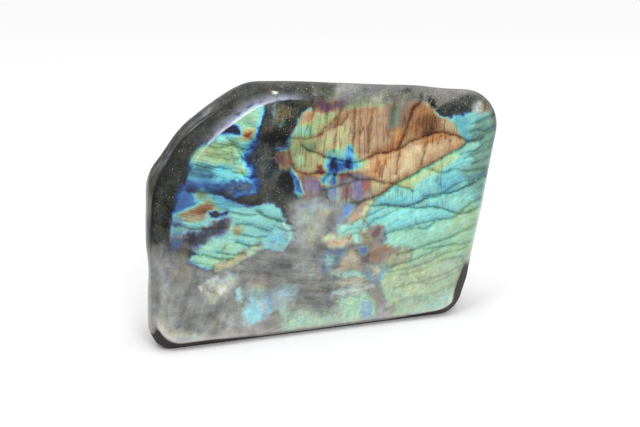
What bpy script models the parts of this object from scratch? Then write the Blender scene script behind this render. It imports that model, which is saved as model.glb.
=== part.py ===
"""A polished freeform of labradorite that stands upright on a sawn foot.

It is one solid: a slab with a large polished face at the front, a broad bevel round the face's upper left,
rounded flanks, a facet ground off the lower right corner, and a domed, hummocky back.

The stone is a loft. STATIONS gives its outline, seen from the front, at several shares of its depth. Each
outline is a polygon with rounded corners, and the rings between the stations follow a smooth curve
through them. The front and back are closed by caps of even triangles. Lengths are in millimetres until
the mesh is made.

Axes: +X to the right, seen from the front, +Y to the back, +Z up. The origin is under the stone's middle.
"""

import math
from typing import NamedTuple

import bmesh
import bpy
from mathutils import Vector, noise
from mathutils.geometry import delaunay_2d_cdt

MM = 0.001

# The face plane leans back, and the back leans forward, so the stone is thinner at its crown.
FACE_LEAN_DEG = 5.0
FACE_FOOT_Y = -19.4
BASE_DEPTH = 37.0
DEPTH_LOST_PER_MM_UP = 0.15
FACE_DOME = 0.9
FACE_DOME_WIDTH = 36.0
BACK_DOME = 3.2
BACK_DOME_WIDTH = 24.0
GIRTH_SHARE = 0.42

# Mesh sizes.
POINT_SPACING = 3.5
RINGS_ACROSS_BEVEL = 2
RINGS_BETWEEN_STATIONS = 3
LEAST_ARC_STEPS = 2
CLEAR_OF_EDGE = 0.6
INSIDE_ONLY = 1
MERGE_DISTANCE = 1e-6
SHARP_ANGLE_DEG = 28.0

# The polished surface.
STONE_COLOUR = (0.20, 0.30, 0.28, 1.0)
STONE_ROUGHNESS = 0.12

# Low relief of the flanks and the back. It fades out at the foot, which stays flat, and at the crisp
# front ridge.
HUMMOCK_HEIGHT = 0.8
HUMMOCK_SIZE = 17.0
RELIEF_FADE_ABOVE_FOOT = 9.0
RELIEF_FULL_AT_SHARE = 0.3
NOISE_ORIGIN = Vector((3.7, 1.9, 8.3))
MIDDLE = Vector((2.0, 0.0, 38.0))


class Corner(NamedTuple):
    """A corner of an outline, seen from the front, and the radius that rounds it."""

    x: float
    z: float
    radius: float


class Dent(NamedTuple):
    """A shallow natural hollow that the polishing left, or a low swell where the depth is negative."""

    x: float
    y: float
    z: float
    radius: float
    depth: float


# Corners run clockwise from the lower left: foot, hip, shoulder, upper left, crown, upper right, hip, foot.
# The share of the depth at which each outline stands comes first.
STATIONS = {
    # The ridge round the polished face.
    0.00: (
        Corner(-63.4, 3.0, 9),
        Corner(-59.6, 31.0, 50),
        Corner(-54.0, 50.0, 50),
        Corner(-46.4, 65.6, 40),
        Corner(-22.5, 80.8, 30),
        Corner(64.6, 74.8, 12),
        Corner(49.6, 20.6, 4),
        Corner(42.0, 3.2, 3),
    ),
    # The lower edge of the bevel and of the ground facet at the right, and the foot's front edge.
    0.12: (
        Corner(-63.6, 0.0, 7),
        Corner(-62.2, 38.0, 40),
        Corner(-60.6, 54.6, 26),
        Corner(-50.0, 70.2, 34),
        Corner(-25.8, 84.2, 22),
        Corner(66.4, 77.0, 12),
        Corner(51.6, 12.2, 8),
        Corner(47.1, 0.0, 9.6),
    ),
    0.24: (
        Corner(-63.2, 0.0, 8),
        Corner(-62.6, 42.0, 40),
        Corner(-61.5, 55.6, 18),
        Corner(-50.2, 71.2, 34),
        Corner(-28.0, 85.5, 16),
        Corner(67.8, 77.2, 13),
        Corner(53.4, 13.0, 8),
        Corner(49.4, 0.0, 11),
    ),
    # The girth.
    GIRTH_SHARE: (
        Corner(-61.2, 0.0, 10),
        Corner(-61.6, 42.0, 40),
        Corner(-60.8, 55.6, 16),
        Corner(-48.7, 70.4, 36),
        Corner(-27.4, 85.1, 18),
        Corner(67.2, 76.0, 15),
        Corner(54.8, 14.5, 9),
        Corner(50.0, 0.0, 10),
    ),
    0.70: (
        Corner(-57.2, 0.0, 12),
        Corner(-58.0, 40.0, 50),
        Corner(-56.1, 53.6, 20),
        Corner(-43.6, 67.2, 36),
        Corner(-23.0, 80.0, 18),
        Corner(61.8, 70.8, 17),
        Corner(53.2, 17.0, 14),
        Corner(47.6, 0.0, 9),
    ),
    0.90: (
        Corner(-52.0, 0.0, 13),
        Corner(-51.4, 34.0, 50),
        Corner(-48.0, 46.5, 26),
        Corner(-36.5, 59.6, 30),
        Corner(-18.0, 70.6, 20),
        Corner(54.0, 62.4, 18),
        Corner(47.6, 19.0, 16),
        Corner(43.6, 0.0, 10),
    ),
    # The edge of the back.
    1.00: (
        Corner(-41.0, 9.0, 12),
        Corner(-40.0, 32.0, 24),
        Corner(-36.5, 41.0, 26),
        Corner(-28.0, 50.0, 24),
        Corner(-11.0, 58.6, 18),
        Corner(42.0, 52.0, 16),
        Corner(38.0, 21.0, 14),
        Corner(34.0, 9.0, 9),
    ),
}

DENTS = (
    Dent(-54.0, -9.0, 62.0, 8.0, 0.8),
    Dent(-64.0, -5.0, 27.0, 9.0, 0.8),
    Dent(-31.0, 2.0, 84.0, 9.0, 0.7),
    Dent(66.0, 0.0, 46.0, 12.0, 1.1),
    Dent(-22.0, 15.0, 30.0, 19.0, 1.8),
    Dent(24.0, 12.0, 48.0, 15.0, 1.5),
    Dent(36.0, 17.0, 17.0, 11.0, 1.2),
    Dent(24.0, -6.0, 81.0, 26.0, -0.9),
)


def clear_scene():
    """Removes every object of the startup scene."""
    for obj in list(bpy.data.objects):
        bpy.data.objects.remove(obj)


def smooth_step(value):
    """0 below 0, 1 above 1, and an even rise between."""
    t = min(max(value, 0.0), 1.0)
    return t * t * (3 - 2 * t)


def fillet(corners, index):
    """The centre, first angle and turn of the arc that rounds one corner, and its two ends."""
    here = Vector((corners[index].x, corners[index].z))
    before = Vector((corners[index - 1].x, corners[index - 1].z))
    after_corner = corners[(index + 1) % len(corners)]
    after = Vector((after_corner.x, after_corner.z))
    incoming, outgoing = (here - before).normalized(), (after - here).normalized()
    turn = math.atan2(incoming.cross(outgoing), incoming.dot(outgoing))
    reach = corners[index].radius * math.tan(abs(turn) / 2)
    start, end = here - incoming * reach, here + outgoing * reach
    side = math.copysign(1.0, turn)
    centre = start + Vector((-incoming.y, incoming.x)) * side * corners[index].radius
    first = math.atan2(start.y - centre.y, start.x - centre.x)
    return centre, first, turn, start, end


def step_counts(corners):
    """Steps along each corner's arc and along the straight after it, for the spacing of the mesh."""
    counts = []
    for index, corner in enumerate(corners):
        _, _, turn, _, end = fillet(corners, index)
        next_start = fillet(corners, (index + 1) % len(corners))[3]
        arc_steps = max(LEAST_ARC_STEPS, round(abs(turn) * corner.radius / POINT_SPACING))
        straight_steps = max(1, round((next_start - end).length / POINT_SPACING))
        counts.append((arc_steps, straight_steps))
    return counts


def rounded_outline(corners, counts):
    """Points of the closed outline, in (x, z), with the same count on every station."""
    points = []
    for index, (arc_steps, straight_steps) in enumerate(counts):
        centre, first, turn, _, end = fillet(corners, index)
        for step in range(arc_steps):
            angle = first + turn * step / arc_steps
            points.append(centre + Vector((math.cos(angle), math.sin(angle))) * corners[index].radius)
        next_start = fillet(corners, (index + 1) % len(corners))[3]
        for step in range(straight_steps):
            points.append(end.lerp(next_start, step / straight_steps))
    return points


def station_curve(shares, outlines, share):
    """The outline at any share of the depth: straight across the bevel, then a curve through the stations."""
    last = len(shares) - 1
    low = max(i for i in range(last) if shares[i] <= share)
    span = shares[low + 1] - shares[low]
    t = (share - shares[low]) / span
    if low == 0:
        return [a.lerp(b, t) for a, b in zip(outlines[0], outlines[1])]

    def slope(station, point):
        """The curve's change per unit of share at a station. It starts afresh behind the bevel."""
        before, after = max(station - 1, 1), min(station + 1, last)
        return (outlines[after][point] - outlines[before][point]) / (shares[after] - shares[before])

    from_low, from_high = 2 * t**3 - 3 * t**2 + 1, -2 * t**3 + 3 * t**2
    slope_low, slope_high = t**3 - 2 * t**2 + t, t**3 - t**2
    return [
        outlines[low][n] * from_low
        + outlines[low + 1][n] * from_high
        + slope(low, n) * slope_low * span
        + slope(low + 1, n) * slope_high * span
        for n in range(len(outlines[low]))
    ]


def ring_shares(shares):
    """The shares of the depth at which the mesh has a ring."""
    found = []
    for low, high in zip(shares, shares[1:]):
        steps = RINGS_BETWEEN_STATIONS if low > 0 else RINGS_ACROSS_BEVEL
        found += [low + (high - low) * step / steps for step in range(steps)]
    return found + [shares[-1]]


def placed(x, z, share):
    """The point at this share of the stone's depth, behind the place (x, z) of the front view."""
    z = max(z, 0.0)
    face_y = FACE_FOOT_Y + z * math.tan(math.radians(FACE_LEAN_DEG))
    return Vector((x, face_y + share * (BASE_DEPTH - DEPTH_LOST_PER_MM_UP * z), z))


def with_relief(point, share):
    """The point with the low hummocks and dents of the flanks and the back."""
    strength = smooth_step(point.z / RELIEF_FADE_ABOVE_FOOT) * smooth_step(share / RELIEF_FULL_AT_SHARE)
    outward = (point - MIDDLE).normalized()
    lift = HUMMOCK_HEIGHT * noise.noise(point / HUMMOCK_SIZE + NOISE_ORIGIN)
    for dent in DENTS:
        distance = (point - Vector((dent.x, dent.y, dent.z))).length
        lift -= dent.depth * smooth_step(1 - distance / dent.radius)
    moved = point + outward * lift * strength
    moved.z = max(moved.z, 0.0)
    return moved


def points_inside(outline, spacing):
    """A grid of even triangles' corners inside the outline, clear of its edge."""
    low_x, high_x = min(p.x for p in outline), max(p.x for p in outline)
    low_z, high_z = min(p.y for p in outline), max(p.y for p in outline)
    row_height = spacing * math.sqrt(3) / 2
    inside = []
    for row in range(1, int((high_z - low_z) / row_height) + 1):
        z = low_z + row * row_height
        for column in range(int((high_x - low_x) / spacing) + 1):
            x = low_x + (column + 0.5 * (row % 2)) * spacing
            place = Vector((x, z))
            if edge_distance(place, outline) > CLEAR_OF_EDGE * spacing and is_inside(place, outline):
                inside.append(place)
    return inside


def is_inside(place, outline):
    """True if the place is inside the closed outline."""
    crossings = 0
    for a, b in zip(outline, outline[1:] + outline[:1]):
        if (a.y > place.y) != (b.y > place.y):
            crossings += place.x < a.x + (place.y - a.y) * (b.x - a.x) / (b.y - a.y)
    return crossings % 2 == 1


def edge_distance(place, outline):
    """The distance from the place to the closed outline."""
    nearest = math.inf
    for a, b in zip(outline, outline[1:] + outline[:1]):
        along = b - a
        t = min(max((place - a).dot(along) / along.length_squared, 0.0), 1.0)
        nearest = min(nearest, (place - a - along * t).length)
    return nearest


def cap(outline, ring, lift):
    """The points that fill a ring, and the triangles between them. lift(place) gives a point in space."""
    filling = points_inside(outline, POINT_SPACING)
    places = outline + filling
    loop = list(range(len(outline)))
    _, _, triangles, originals, _, _ = delaunay_2d_cdt(places, [], [loop], INSIDE_ONLY, MERGE_DISTANCE)
    indices = [source[0] for source in originals]
    points = ring + [lift(place) for place in filling]
    return points, [[indices[n] for n in triangle] for triangle in triangles]


def closed_mesh(points, faces):
    """A mesh in metres whose faces all point out."""
    mesh = bpy.data.meshes.new("labradorite_stone")
    mesh.from_pydata([p * MM for p in points], [], faces)
    shaped = bmesh.new()
    shaped.from_mesh(mesh)
    bmesh.ops.recalc_face_normals(shaped, faces=shaped.faces)
    shaped.to_mesh(mesh)
    shaped.free()
    return mesh


def stone_mesh():
    """The closed mesh of the stone, in metres."""
    shares = sorted(STATIONS)
    counts = step_counts(STATIONS[GIRTH_SHARE])
    outlines = [rounded_outline(STATIONS[share], counts) for share in shares]
    rings = []
    for share in ring_shares(shares):
        flat = station_curve(shares, outlines, share)
        rings.append([with_relief(placed(p.x, p.y, share), share) for p in flat])
    size = len(rings[0])
    points = [p for ring in rings for p in ring]
    faces = []
    for r in range(len(rings) - 1):
        for n in range(size):
            across = (n + 1) % size
            faces.append([r * size + n, r * size + across, (r + 1) * size + across, (r + 1) * size + n])

    def on_face(place):
        """A point of the polished face, which is slightly domed."""
        rise = FACE_DOME * smooth_step(edge_distance(place, outlines[0]) / FACE_DOME_WIDTH)
        return placed(place.x, place.y, 0.0) - Vector((0, rise, 0))

    def on_back(place):
        """A point of the domed back."""
        rise = BACK_DOME * smooth_step(edge_distance(place, outlines[-1]) / BACK_DOME_WIDTH)
        return with_relief(placed(place.x, place.y, 1.0) + Vector((0, rise, 0)), 1.0)

    for outline, ring, lift in ((outlines[0], rings[0], on_face), (outlines[-1], rings[-1], on_back)):
        cap_points, triangles = cap(outline, ring, lift)
        first_new = len(points)
        offset = 0 if ring is rings[0] else (len(rings) - 1) * size
        places = [offset + n if n < size else first_new + n - size for n in range(len(cap_points))]
        points += cap_points[size:]
        faces += [[places[n] for n in triangle] for triangle in triangles]
    return closed_mesh(points, faces)


def labradorite():
    """The stone's material: dark grey-green feldspar with a polished surface."""
    material = bpy.data.materials.new("polished_labradorite")
    material.use_nodes = True
    shader = material.node_tree.nodes["Principled BSDF"]
    shader.inputs["Base Color"].default_value = STONE_COLOUR
    shader.inputs["Metallic"].default_value = 0.0
    shader.inputs["Roughness"].default_value = STONE_ROUGHNESS
    return material


def main():
    """Builds the stone as one named object."""
    clear_scene()
    mesh = stone_mesh()
    mesh.materials.append(labradorite())
    stone = bpy.data.objects.new("labradorite_stone", mesh)
    bpy.context.scene.collection.objects.link(stone)
    mesh.shade_smooth()
    mesh.set_sharp_from_angle(angle=math.radians(SHARP_ANGLE_DEG))


main()
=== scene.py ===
"""The looks of a polished labradorite freeform that stands upright on a sawn foot.

The stone is dark feldspar with sheets that flash blue, green, gold and copper. Its shape is a fine loft
through the same outlines as the CAD part, with a soft ridge round the polished face. The play of colour is
laid out flake by flake: every flake has an outline on the face and an order, its place on the run of colours
from indigo to violet. Where one order gives way to another, the colours between them show as a fringe.

Lengths are in millimetres until the mesh is made. +X is to the right, +Y to the back and +Z up.
"""

import logging
import math
from dataclasses import dataclass
from enum import Enum
from typing import NamedTuple

import bmesh
import bpy
import numpy as np
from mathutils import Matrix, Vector, noise
from mathutils.geometry import delaunay_2d_cdt


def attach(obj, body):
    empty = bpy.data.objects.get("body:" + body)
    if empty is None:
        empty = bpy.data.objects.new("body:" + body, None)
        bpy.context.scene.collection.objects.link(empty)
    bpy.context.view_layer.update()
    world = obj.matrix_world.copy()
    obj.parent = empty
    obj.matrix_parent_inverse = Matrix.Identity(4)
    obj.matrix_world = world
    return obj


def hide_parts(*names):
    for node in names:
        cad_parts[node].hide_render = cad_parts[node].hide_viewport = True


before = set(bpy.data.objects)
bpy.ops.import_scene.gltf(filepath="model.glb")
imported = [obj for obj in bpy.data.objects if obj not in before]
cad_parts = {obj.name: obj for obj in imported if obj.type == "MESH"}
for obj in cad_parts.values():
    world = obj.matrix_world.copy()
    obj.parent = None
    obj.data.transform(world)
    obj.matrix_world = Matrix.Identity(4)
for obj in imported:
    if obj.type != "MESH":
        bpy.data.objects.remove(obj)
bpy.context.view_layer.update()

log = logging.getLogger("labradorite")

Array = np.ndarray
Socket = bpy.types.NodeSocket
Paint = tuple[float, float, float, float]

MM = 0.001


class Blend(Enum):
    """How a flake gives way to what lies round it."""

    RAINBOW = "the orders between the two show as a fringe"
    SOFT = "the flake fades into the milky ground without a fringe"


class Corner(NamedTuple):
    """A corner of an outline, seen from the front, and the radius that rounds it."""

    x: float
    z: float
    radius: float


class Dent(NamedTuple):
    """A shallow natural hollow that the polishing left, or a low swell where the depth is negative."""

    x: float
    y: float
    z: float
    radius: float
    depth: float


@dataclass(frozen=True)
class Slope:
    """A steady change of a flake's order from one place to another."""

    start_x: float
    start_z: float
    end_x: float
    end_z: float
    last_order: float


@dataclass(frozen=True)
class Flake:
    """One patch of the face with an order of its own.

    The order runs from 0, dark, through blue, green, gold and copper to 1, violet. The outline gives x and z
    by turns, and edge is how wide its edge is. shade is how light the flash is, flash the share of the
    colour that comes from it, and grey the lightness, out of 255, of the ground that shows for the rest.
    """

    name: str
    order: float
    outline: tuple[float, ...]
    edge: float = 1.2
    shade: float = 1.0
    flash: float = 1.0
    grey: float | None = None
    waver: float = 1.0
    slope: Slope | None = None
    blend: Blend = Blend.RAINBOW


@dataclass(frozen=True)
class Haze(Flake):
    """A flake that fades softly into what lies round it."""

    blend: Blend = Blend.SOFT


@dataclass(frozen=True)
class Crack:
    """A fine healed crack that runs through these places of the face, given as x and z by turns."""

    places: tuple[float, ...]
    width: float
    depth: float


@dataclass(frozen=True)
class Grain:
    """A region of the face whose fine layers all run one way."""

    name: str
    outline: tuple[float, ...]
    edge: float
    strength: float


# The milky ground of the lower left. The flash is asleep here.
CLOUD = (
    Haze("cloud low left", 0.66, (-68, 0, -68, 34, -58.6, 36.6, -56, 33.6, -51, 30, -46, 27, -40, 27,
        -34, 29, -30, 31, -25, 33, -18, 31, -16, 46, -8, 48, 0, 47, 6, 44, 20, 39, 22, 20, 22, 0), 3, 1, 0,
        117),
    Haze("pale streak left", 0.66, (-59.6, 8, -60.4, 18, -60.6, 28, -57.6, 28.6, -56.8, 20, -57, 10), 2, 1,
        0, 136),
    Haze("pale foot haze", 0.66, (-43, 1, -43, 8, -40, 12, -34, 12.6, -28, 11, -24, 6, -22, 1), 5, 1, 0,
        143),
    # Painted shade on the bevel down the left and round the upper left.
    Haze("bevel in painted shade", 0, (-62, 60, -56, 67, -49, 74, -42, 80, -36, 81, -32.6, 77.4, -37, 73, -42, 68.4,
        -47, 62.4, -50.6, 56, -53.6, 50, -57, 45, -61, 48), 3, 1, 0, 49, waver=2),
)

# The leaf of green, cyan and blue at the upper left.
LEAF = (
    Flake("leaf", 0.535, (-31, 76.2, -27, 78.6, -24.4, 78.4, -23, 76.8, -23.8, 74.9, -24.3, 72.6,
        -24.4, 70.4, -24.9, 68.5, -26.2, 66.4, -27.2, 63.8, -29, 62.3, -29.8, 60.8, -27.4, 59.5,
        -26.7, 58, -26.4, 56, -25.8, 54, -26, 51.5, -28, 49.5, -38, 48, -46, 47, -56, 45, -53.5, 50,
        -50.7, 54.5, -47.7, 60, -44.2, 65, -40.5, 69,
        -36, 72.8), 1.5, 0.84, slope=Slope(-40, 64, -44, 51, 0.17)),
    Flake("leaf cyan fringe", 0.4, (-26, 78, -24.6, 78, -23.6, 75, -24.4, 70.4, -25.6, 68, -27, 66.4,
        -26.4, 69, -25.6, 73), 1.2, 1.02),
    Flake("leaf teal shade", 0.34, (-47.6, 61, -43, 61.5, -41, 59, -41.5, 56, -45, 55, -50, 56.5), 2.4,
        0.38),
    Flake("leaf cream heart", 0.575, (-50, 63, -46, 67, -40, 68, -35, 66.4, -32.6, 62, -36, 60, -42, 61,
        -47, 60.6), 3, 0.78),
    Flake("leaf cyan block", 0.38, (-41, 60.6, -37.4, 60.5, -37, 58, -38.5, 55.2, -42, 55.5), 1.6, 0.88),
    Flake("leaf pale block", 0.6, (-33.5, 59.4, -28.8, 59.8, -27.4, 58.2, -27.3, 56.2, -31.5, 55.6,
        -34, 57), 1.5, 1.08),
    Flake("leaf cyan under block", 0.34, (-38, 55.8, -33, 55.6, -27, 55.6, -26, 53.5, -29, 52.8, -36, 54.3),
        1.6),
    Flake("deep blue floor", 0.19, (-54, 51, -52.4, 55.2, -47, 55.8, -42, 55.4, -38.4, 54.6, -36, 52,
        -37, 49.6, -42, 49.8, -47, 50.6), 4, 0.57),
    Flake("leaf white-cyan crest", 0.46, (-39.6, 68.6, -34.5, 69.6, -33.2, 68.8, -35.5, 67.6, -39.6, 67.3),
        1.4, 1.2),
    Flake("indigo bite", 0.03, (-38.4, 69.9, -36.8, 72, -34.8, 73.6, -32.4, 72.6, -31.4, 70.8,
        -31.9, 69.5, -34.8, 69.7), 1.3, 0.9, waver=0.7),
    Flake("ember spot", 0.93, (-31, 70.4, -26.3, 70.6, -25.6, 68.9, -26.6, 67.8, -27.8, 66.6, -29.4, 67.8,
        -31, 69), 2, 0.42, waver=0.6),
    Haze("speckled dark", 0.2, (-36.4, 50.6, -36.8, 53, -34.8, 54.2, -33.6, 52.6, -31.6, 53.6,
        -29.4, 52.4, -30.6, 50.8, -33.6, 51.2), 1, 0.6, 0.34, 92, waver=1.6),
    Haze("ink knot right", 0, (-34.4, 51.2, -34.2, 52.6, -32.4, 52.2, -32.8, 51), 0.8, 1, 0.2, 40,
        waver=1.4),
    Flake("blue of the lower leaf", 0.19, (-55.5, 46, -53.5, 49.8, -51.8, 52.6, -47, 52.8, -46.5, 50,
        -48.5, 47.6, -52, 46.8), 1.8, 0.62),
    Flake("gold wisp", 0.62, (-47.5, 52, -45.2, 52.6, -42.5, 50.6, -40.3, 48.6, -41.5, 47.3, -44.5, 49.2,
        -47, 50), 2.2, 0.4),
    Flake("light blue under leaf", 0.33, (-44.5, 50.2, -41.5, 50.8, -37, 49.2, -33, 47.4, -30, 46.1,
        -36, 45.5, -40, 46.8), 1.4, 0.55),
)

# The striped aqua sheet below the leaf, with its copper lens.
LOWER_SHEET = (
    Flake("aqua sheet", 0.45, (-55.6, 44, -51, 43.6, -45, 44, -40, 45.3, -36, 46.3, -31, 45.4, -27, 45.8,
        -24.6, 47, -22.5, 47.2, -21, 45.4, -19.3, 44.2, -18.6, 42.2, -17.2, 39.8, -15.7, 36.8, -16, 34,
        -18, 31.4, -20, 30.2, -23, 31.1, -26, 31.9, -29, 31.3, -31, 30, -34, 28.6, -38, 27.5, -42, 26.9,
        -45, 26.6, -48, 28, -51.2, 29.8, -49, 32, -50, 34.5, -54.5, 35.6, -56.5, 38.5, -56.6, 41.5), 1.4,
        0.82, 0.9, 130),
    Flake("aqua left violet", 0.2, (-56.5, 43.3, -53, 43.4, -52.3, 41, -52.5, 38.5, -50.8, 36.2,
        -54.6, 35.4, -56.6, 38.5), 2.2, 0.46, 0.7, 110),
    Flake("aqua left pale", 0.47, (-56.3, 41.6, -52, 41.3, -46, 40, -41.5, 39.2, -45, 38.6, -51, 39.6,
        -56.4, 40.4), 1.2, 0.46, 0.85, 120),
    Flake("aqua right end", 0.33, (-25, 37.5, -19, 37.6, -16.3, 36.6, -17, 33.2, -20, 30.6, -23, 31.8,
        -25.5, 34), 2.4, 0.9, 0.7, 150),
    Haze("right end rim", 0.45, (-18.4, 41.2, -16.6, 39.4, -15.2, 36.6, -15.6, 33.6, -16.8, 33.8,
        -16.7, 37, -18.4, 39.8), 1, 1.4, 0.7, 150),
    Flake("green low", 0.52, (-49, 31.8, -46, 34, -42.5, 35.6, -38, 35.6, -34, 34.6, -31.5, 32, -33, 29.4,
        -37, 28.2, -42, 27.6, -46, 27.6, -50.5, 29.9), 1.6, 1, 0.85, 120),
    Flake("tan spot", 0.74, (-35.4, 39.4, -33.2, 39.2, -32.6, 37.4, -34.4, 36.8, -35.6, 38), 2, 0.75, 0.6,
        120),
    Haze("tan strip", 0.68, (-42.5, 27.6, -38, 28, -34, 29.6, -31.6, 31, -31, 30, -34, 28.2, -38, 26.9,
        -42.5, 26.2), 1, 0.75, 0.7, 150),
    Haze("yellow rim low", 0.57, (-31.6, 31.4, -29, 32.6, -26.5, 33, -26.5, 32, -29, 31.2, -31, 29.9), 1,
        0.95, 0.75, 150),
    Flake("orange lens", 0.8, (-55.4, 45, -51, 46.6, -48.4, 47, -46.4, 48.4, -43.4, 49.4, -41.6, 47.4,
        -38.4, 45.9, -40.6, 44.9, -44, 44.3, -47.5, 43.4, -51, 43.8), 1.8, 0.42, waver=0.8),
    Flake("lens brown", 0.88, (-49, 45.8, -45.5, 47.2, -42.8, 46.8, -43.6, 45.3, -46.5, 44.6), 1.4, 0.36,
        waver=0.8),
    Flake("mauve under lens", 0.7, (-52.5, 44.6, -45.5, 44.4, -45, 42.8, -48, 42.2, -51.5, 42.8), 1.2,
        0.44, 0.75, 150),
    Flake("ink spot", 0.04, (-43.6, 45.8, -41.8, 46.4, -40.2, 45.7, -39.4, 44.4, -41, 43.4, -43, 43.7,
        -44, 44.6), 1, 0.6),
    Flake("blue spot", 0.12, (-39.9, 45.6, -36.9, 45.3, -37.2, 43.6, -39.6, 43.5), 1, 0.55),
    Haze("dark streak", 0.1, (-38.6, 42.6, -37.4, 41.4, -38, 39.4, -39.6, 38, -42.6, 37.4, -45, 36,
        -47.6, 35.4, -50, 34.6, -53, 33.4, -56.6, 32.8, -58, 34.4, -55, 35.6, -52.6, 36.4, -51.6, 38.4,
        -49.6, 39.2, -47.6, 38, -45, 38.8, -42.4, 39.4, -41.4, 41.6), 1, 0.7, 0.34, 76, waver=1.4),
    Haze("ink in streak", 0, (-41.4, 40, -40.2, 42.4, -38.6, 42, -39.2, 39.6, -41, 38.4, -44.6, 37.4,
        -46.6, 37.6, -45, 38.8, -42.6, 39), 0.8, 1, 0.1, 44, waver=1.4),
    Haze("ink in streak left", 0, (-50.8, 38.8, -48.4, 39, -48, 37.2, -49.4, 35.8, -51.4, 36.6), 0.8, 1,
        0.1, 30, waver=1.4),
    Haze("blue of the streak", 0.17, (-57, 37.4, -54, 38, -52, 36.8, -53, 35, -56, 34.4), 0.9, 0.6, 0.6,
        70, waver=1.5),
)

# The dark vein between the leaf and the copper sheet.
VEIN = (
    Flake("vein edge", 0, (-22.5, 79.5, -10, 78.8, -8.8, 76.4, -10.4, 74, -11.6, 71.5, -13.8, 68.4,
        -15.2, 66.5, -15.3, 60, -14.7, 57, -13.3, 55, -12.4, 52.4, -12, 49.6, -9.5, 47.4, -16, 46.5,
        -22, 47.4, -25, 50, -24.6, 54, -25, 58, -28.4, 61.2, -26.4, 64, -24.2, 69, -22.8, 76), 1.1, 1, 0,
        61),
    Flake("warm ground", 0.7, (-20, 70, -19.6, 77.6, -14.6, 77.4, -13.6, 74, -15.4, 70), 1.2, 1, 0, 46),
    Haze("gold crumbs", 0.72, (-18.8, 73.4, -18, 76.4, -15.4, 76.8, -14.6, 74.4, -15.8, 72.2, -17.6, 72),
        1, 0.5, 0.34, 50, waver=2.2),
    Haze("blue grey of the vein", 0.34, (-24, 79, -19, 78.6, -18.4, 74.4, -20, 72.4, -23, 73), 2.4, 1, 0.2,
        88, waver=1.6),
    Flake("black of the vein", 0, (-24, 69.6, -20, 70, -15, 69.4, -13.8, 67.4, -16, 65.8, -21, 66.2,
        -24.6, 67.4), 2.6, 1, 0, 22),
    Flake("grey of the vein", 0.1, (-26, 65, -21, 65.4, -16, 64.6, -21, 63, -21.4, 58, -17, 56.4, -20, 54,
        -25.6, 53, -26, 58, -28, 60.4), 4, 1, 0.06, 70),
    Flake("vein hole", 0.05, (-19.6, 54.6, -17.4, 56.2, -15, 55.6, -13.4, 53, -12.6, 50, -13.6, 48.4,
        -16.6, 49, -19, 51.4), 1.8, 1, 0.1, 10, waver=1.2),
    Flake("top ground", 0.64, (1, 75, 2, 85, 42, 84, 44, 76, 38, 74, 20, 74), 2, 1, 0, 108),
)

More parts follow.
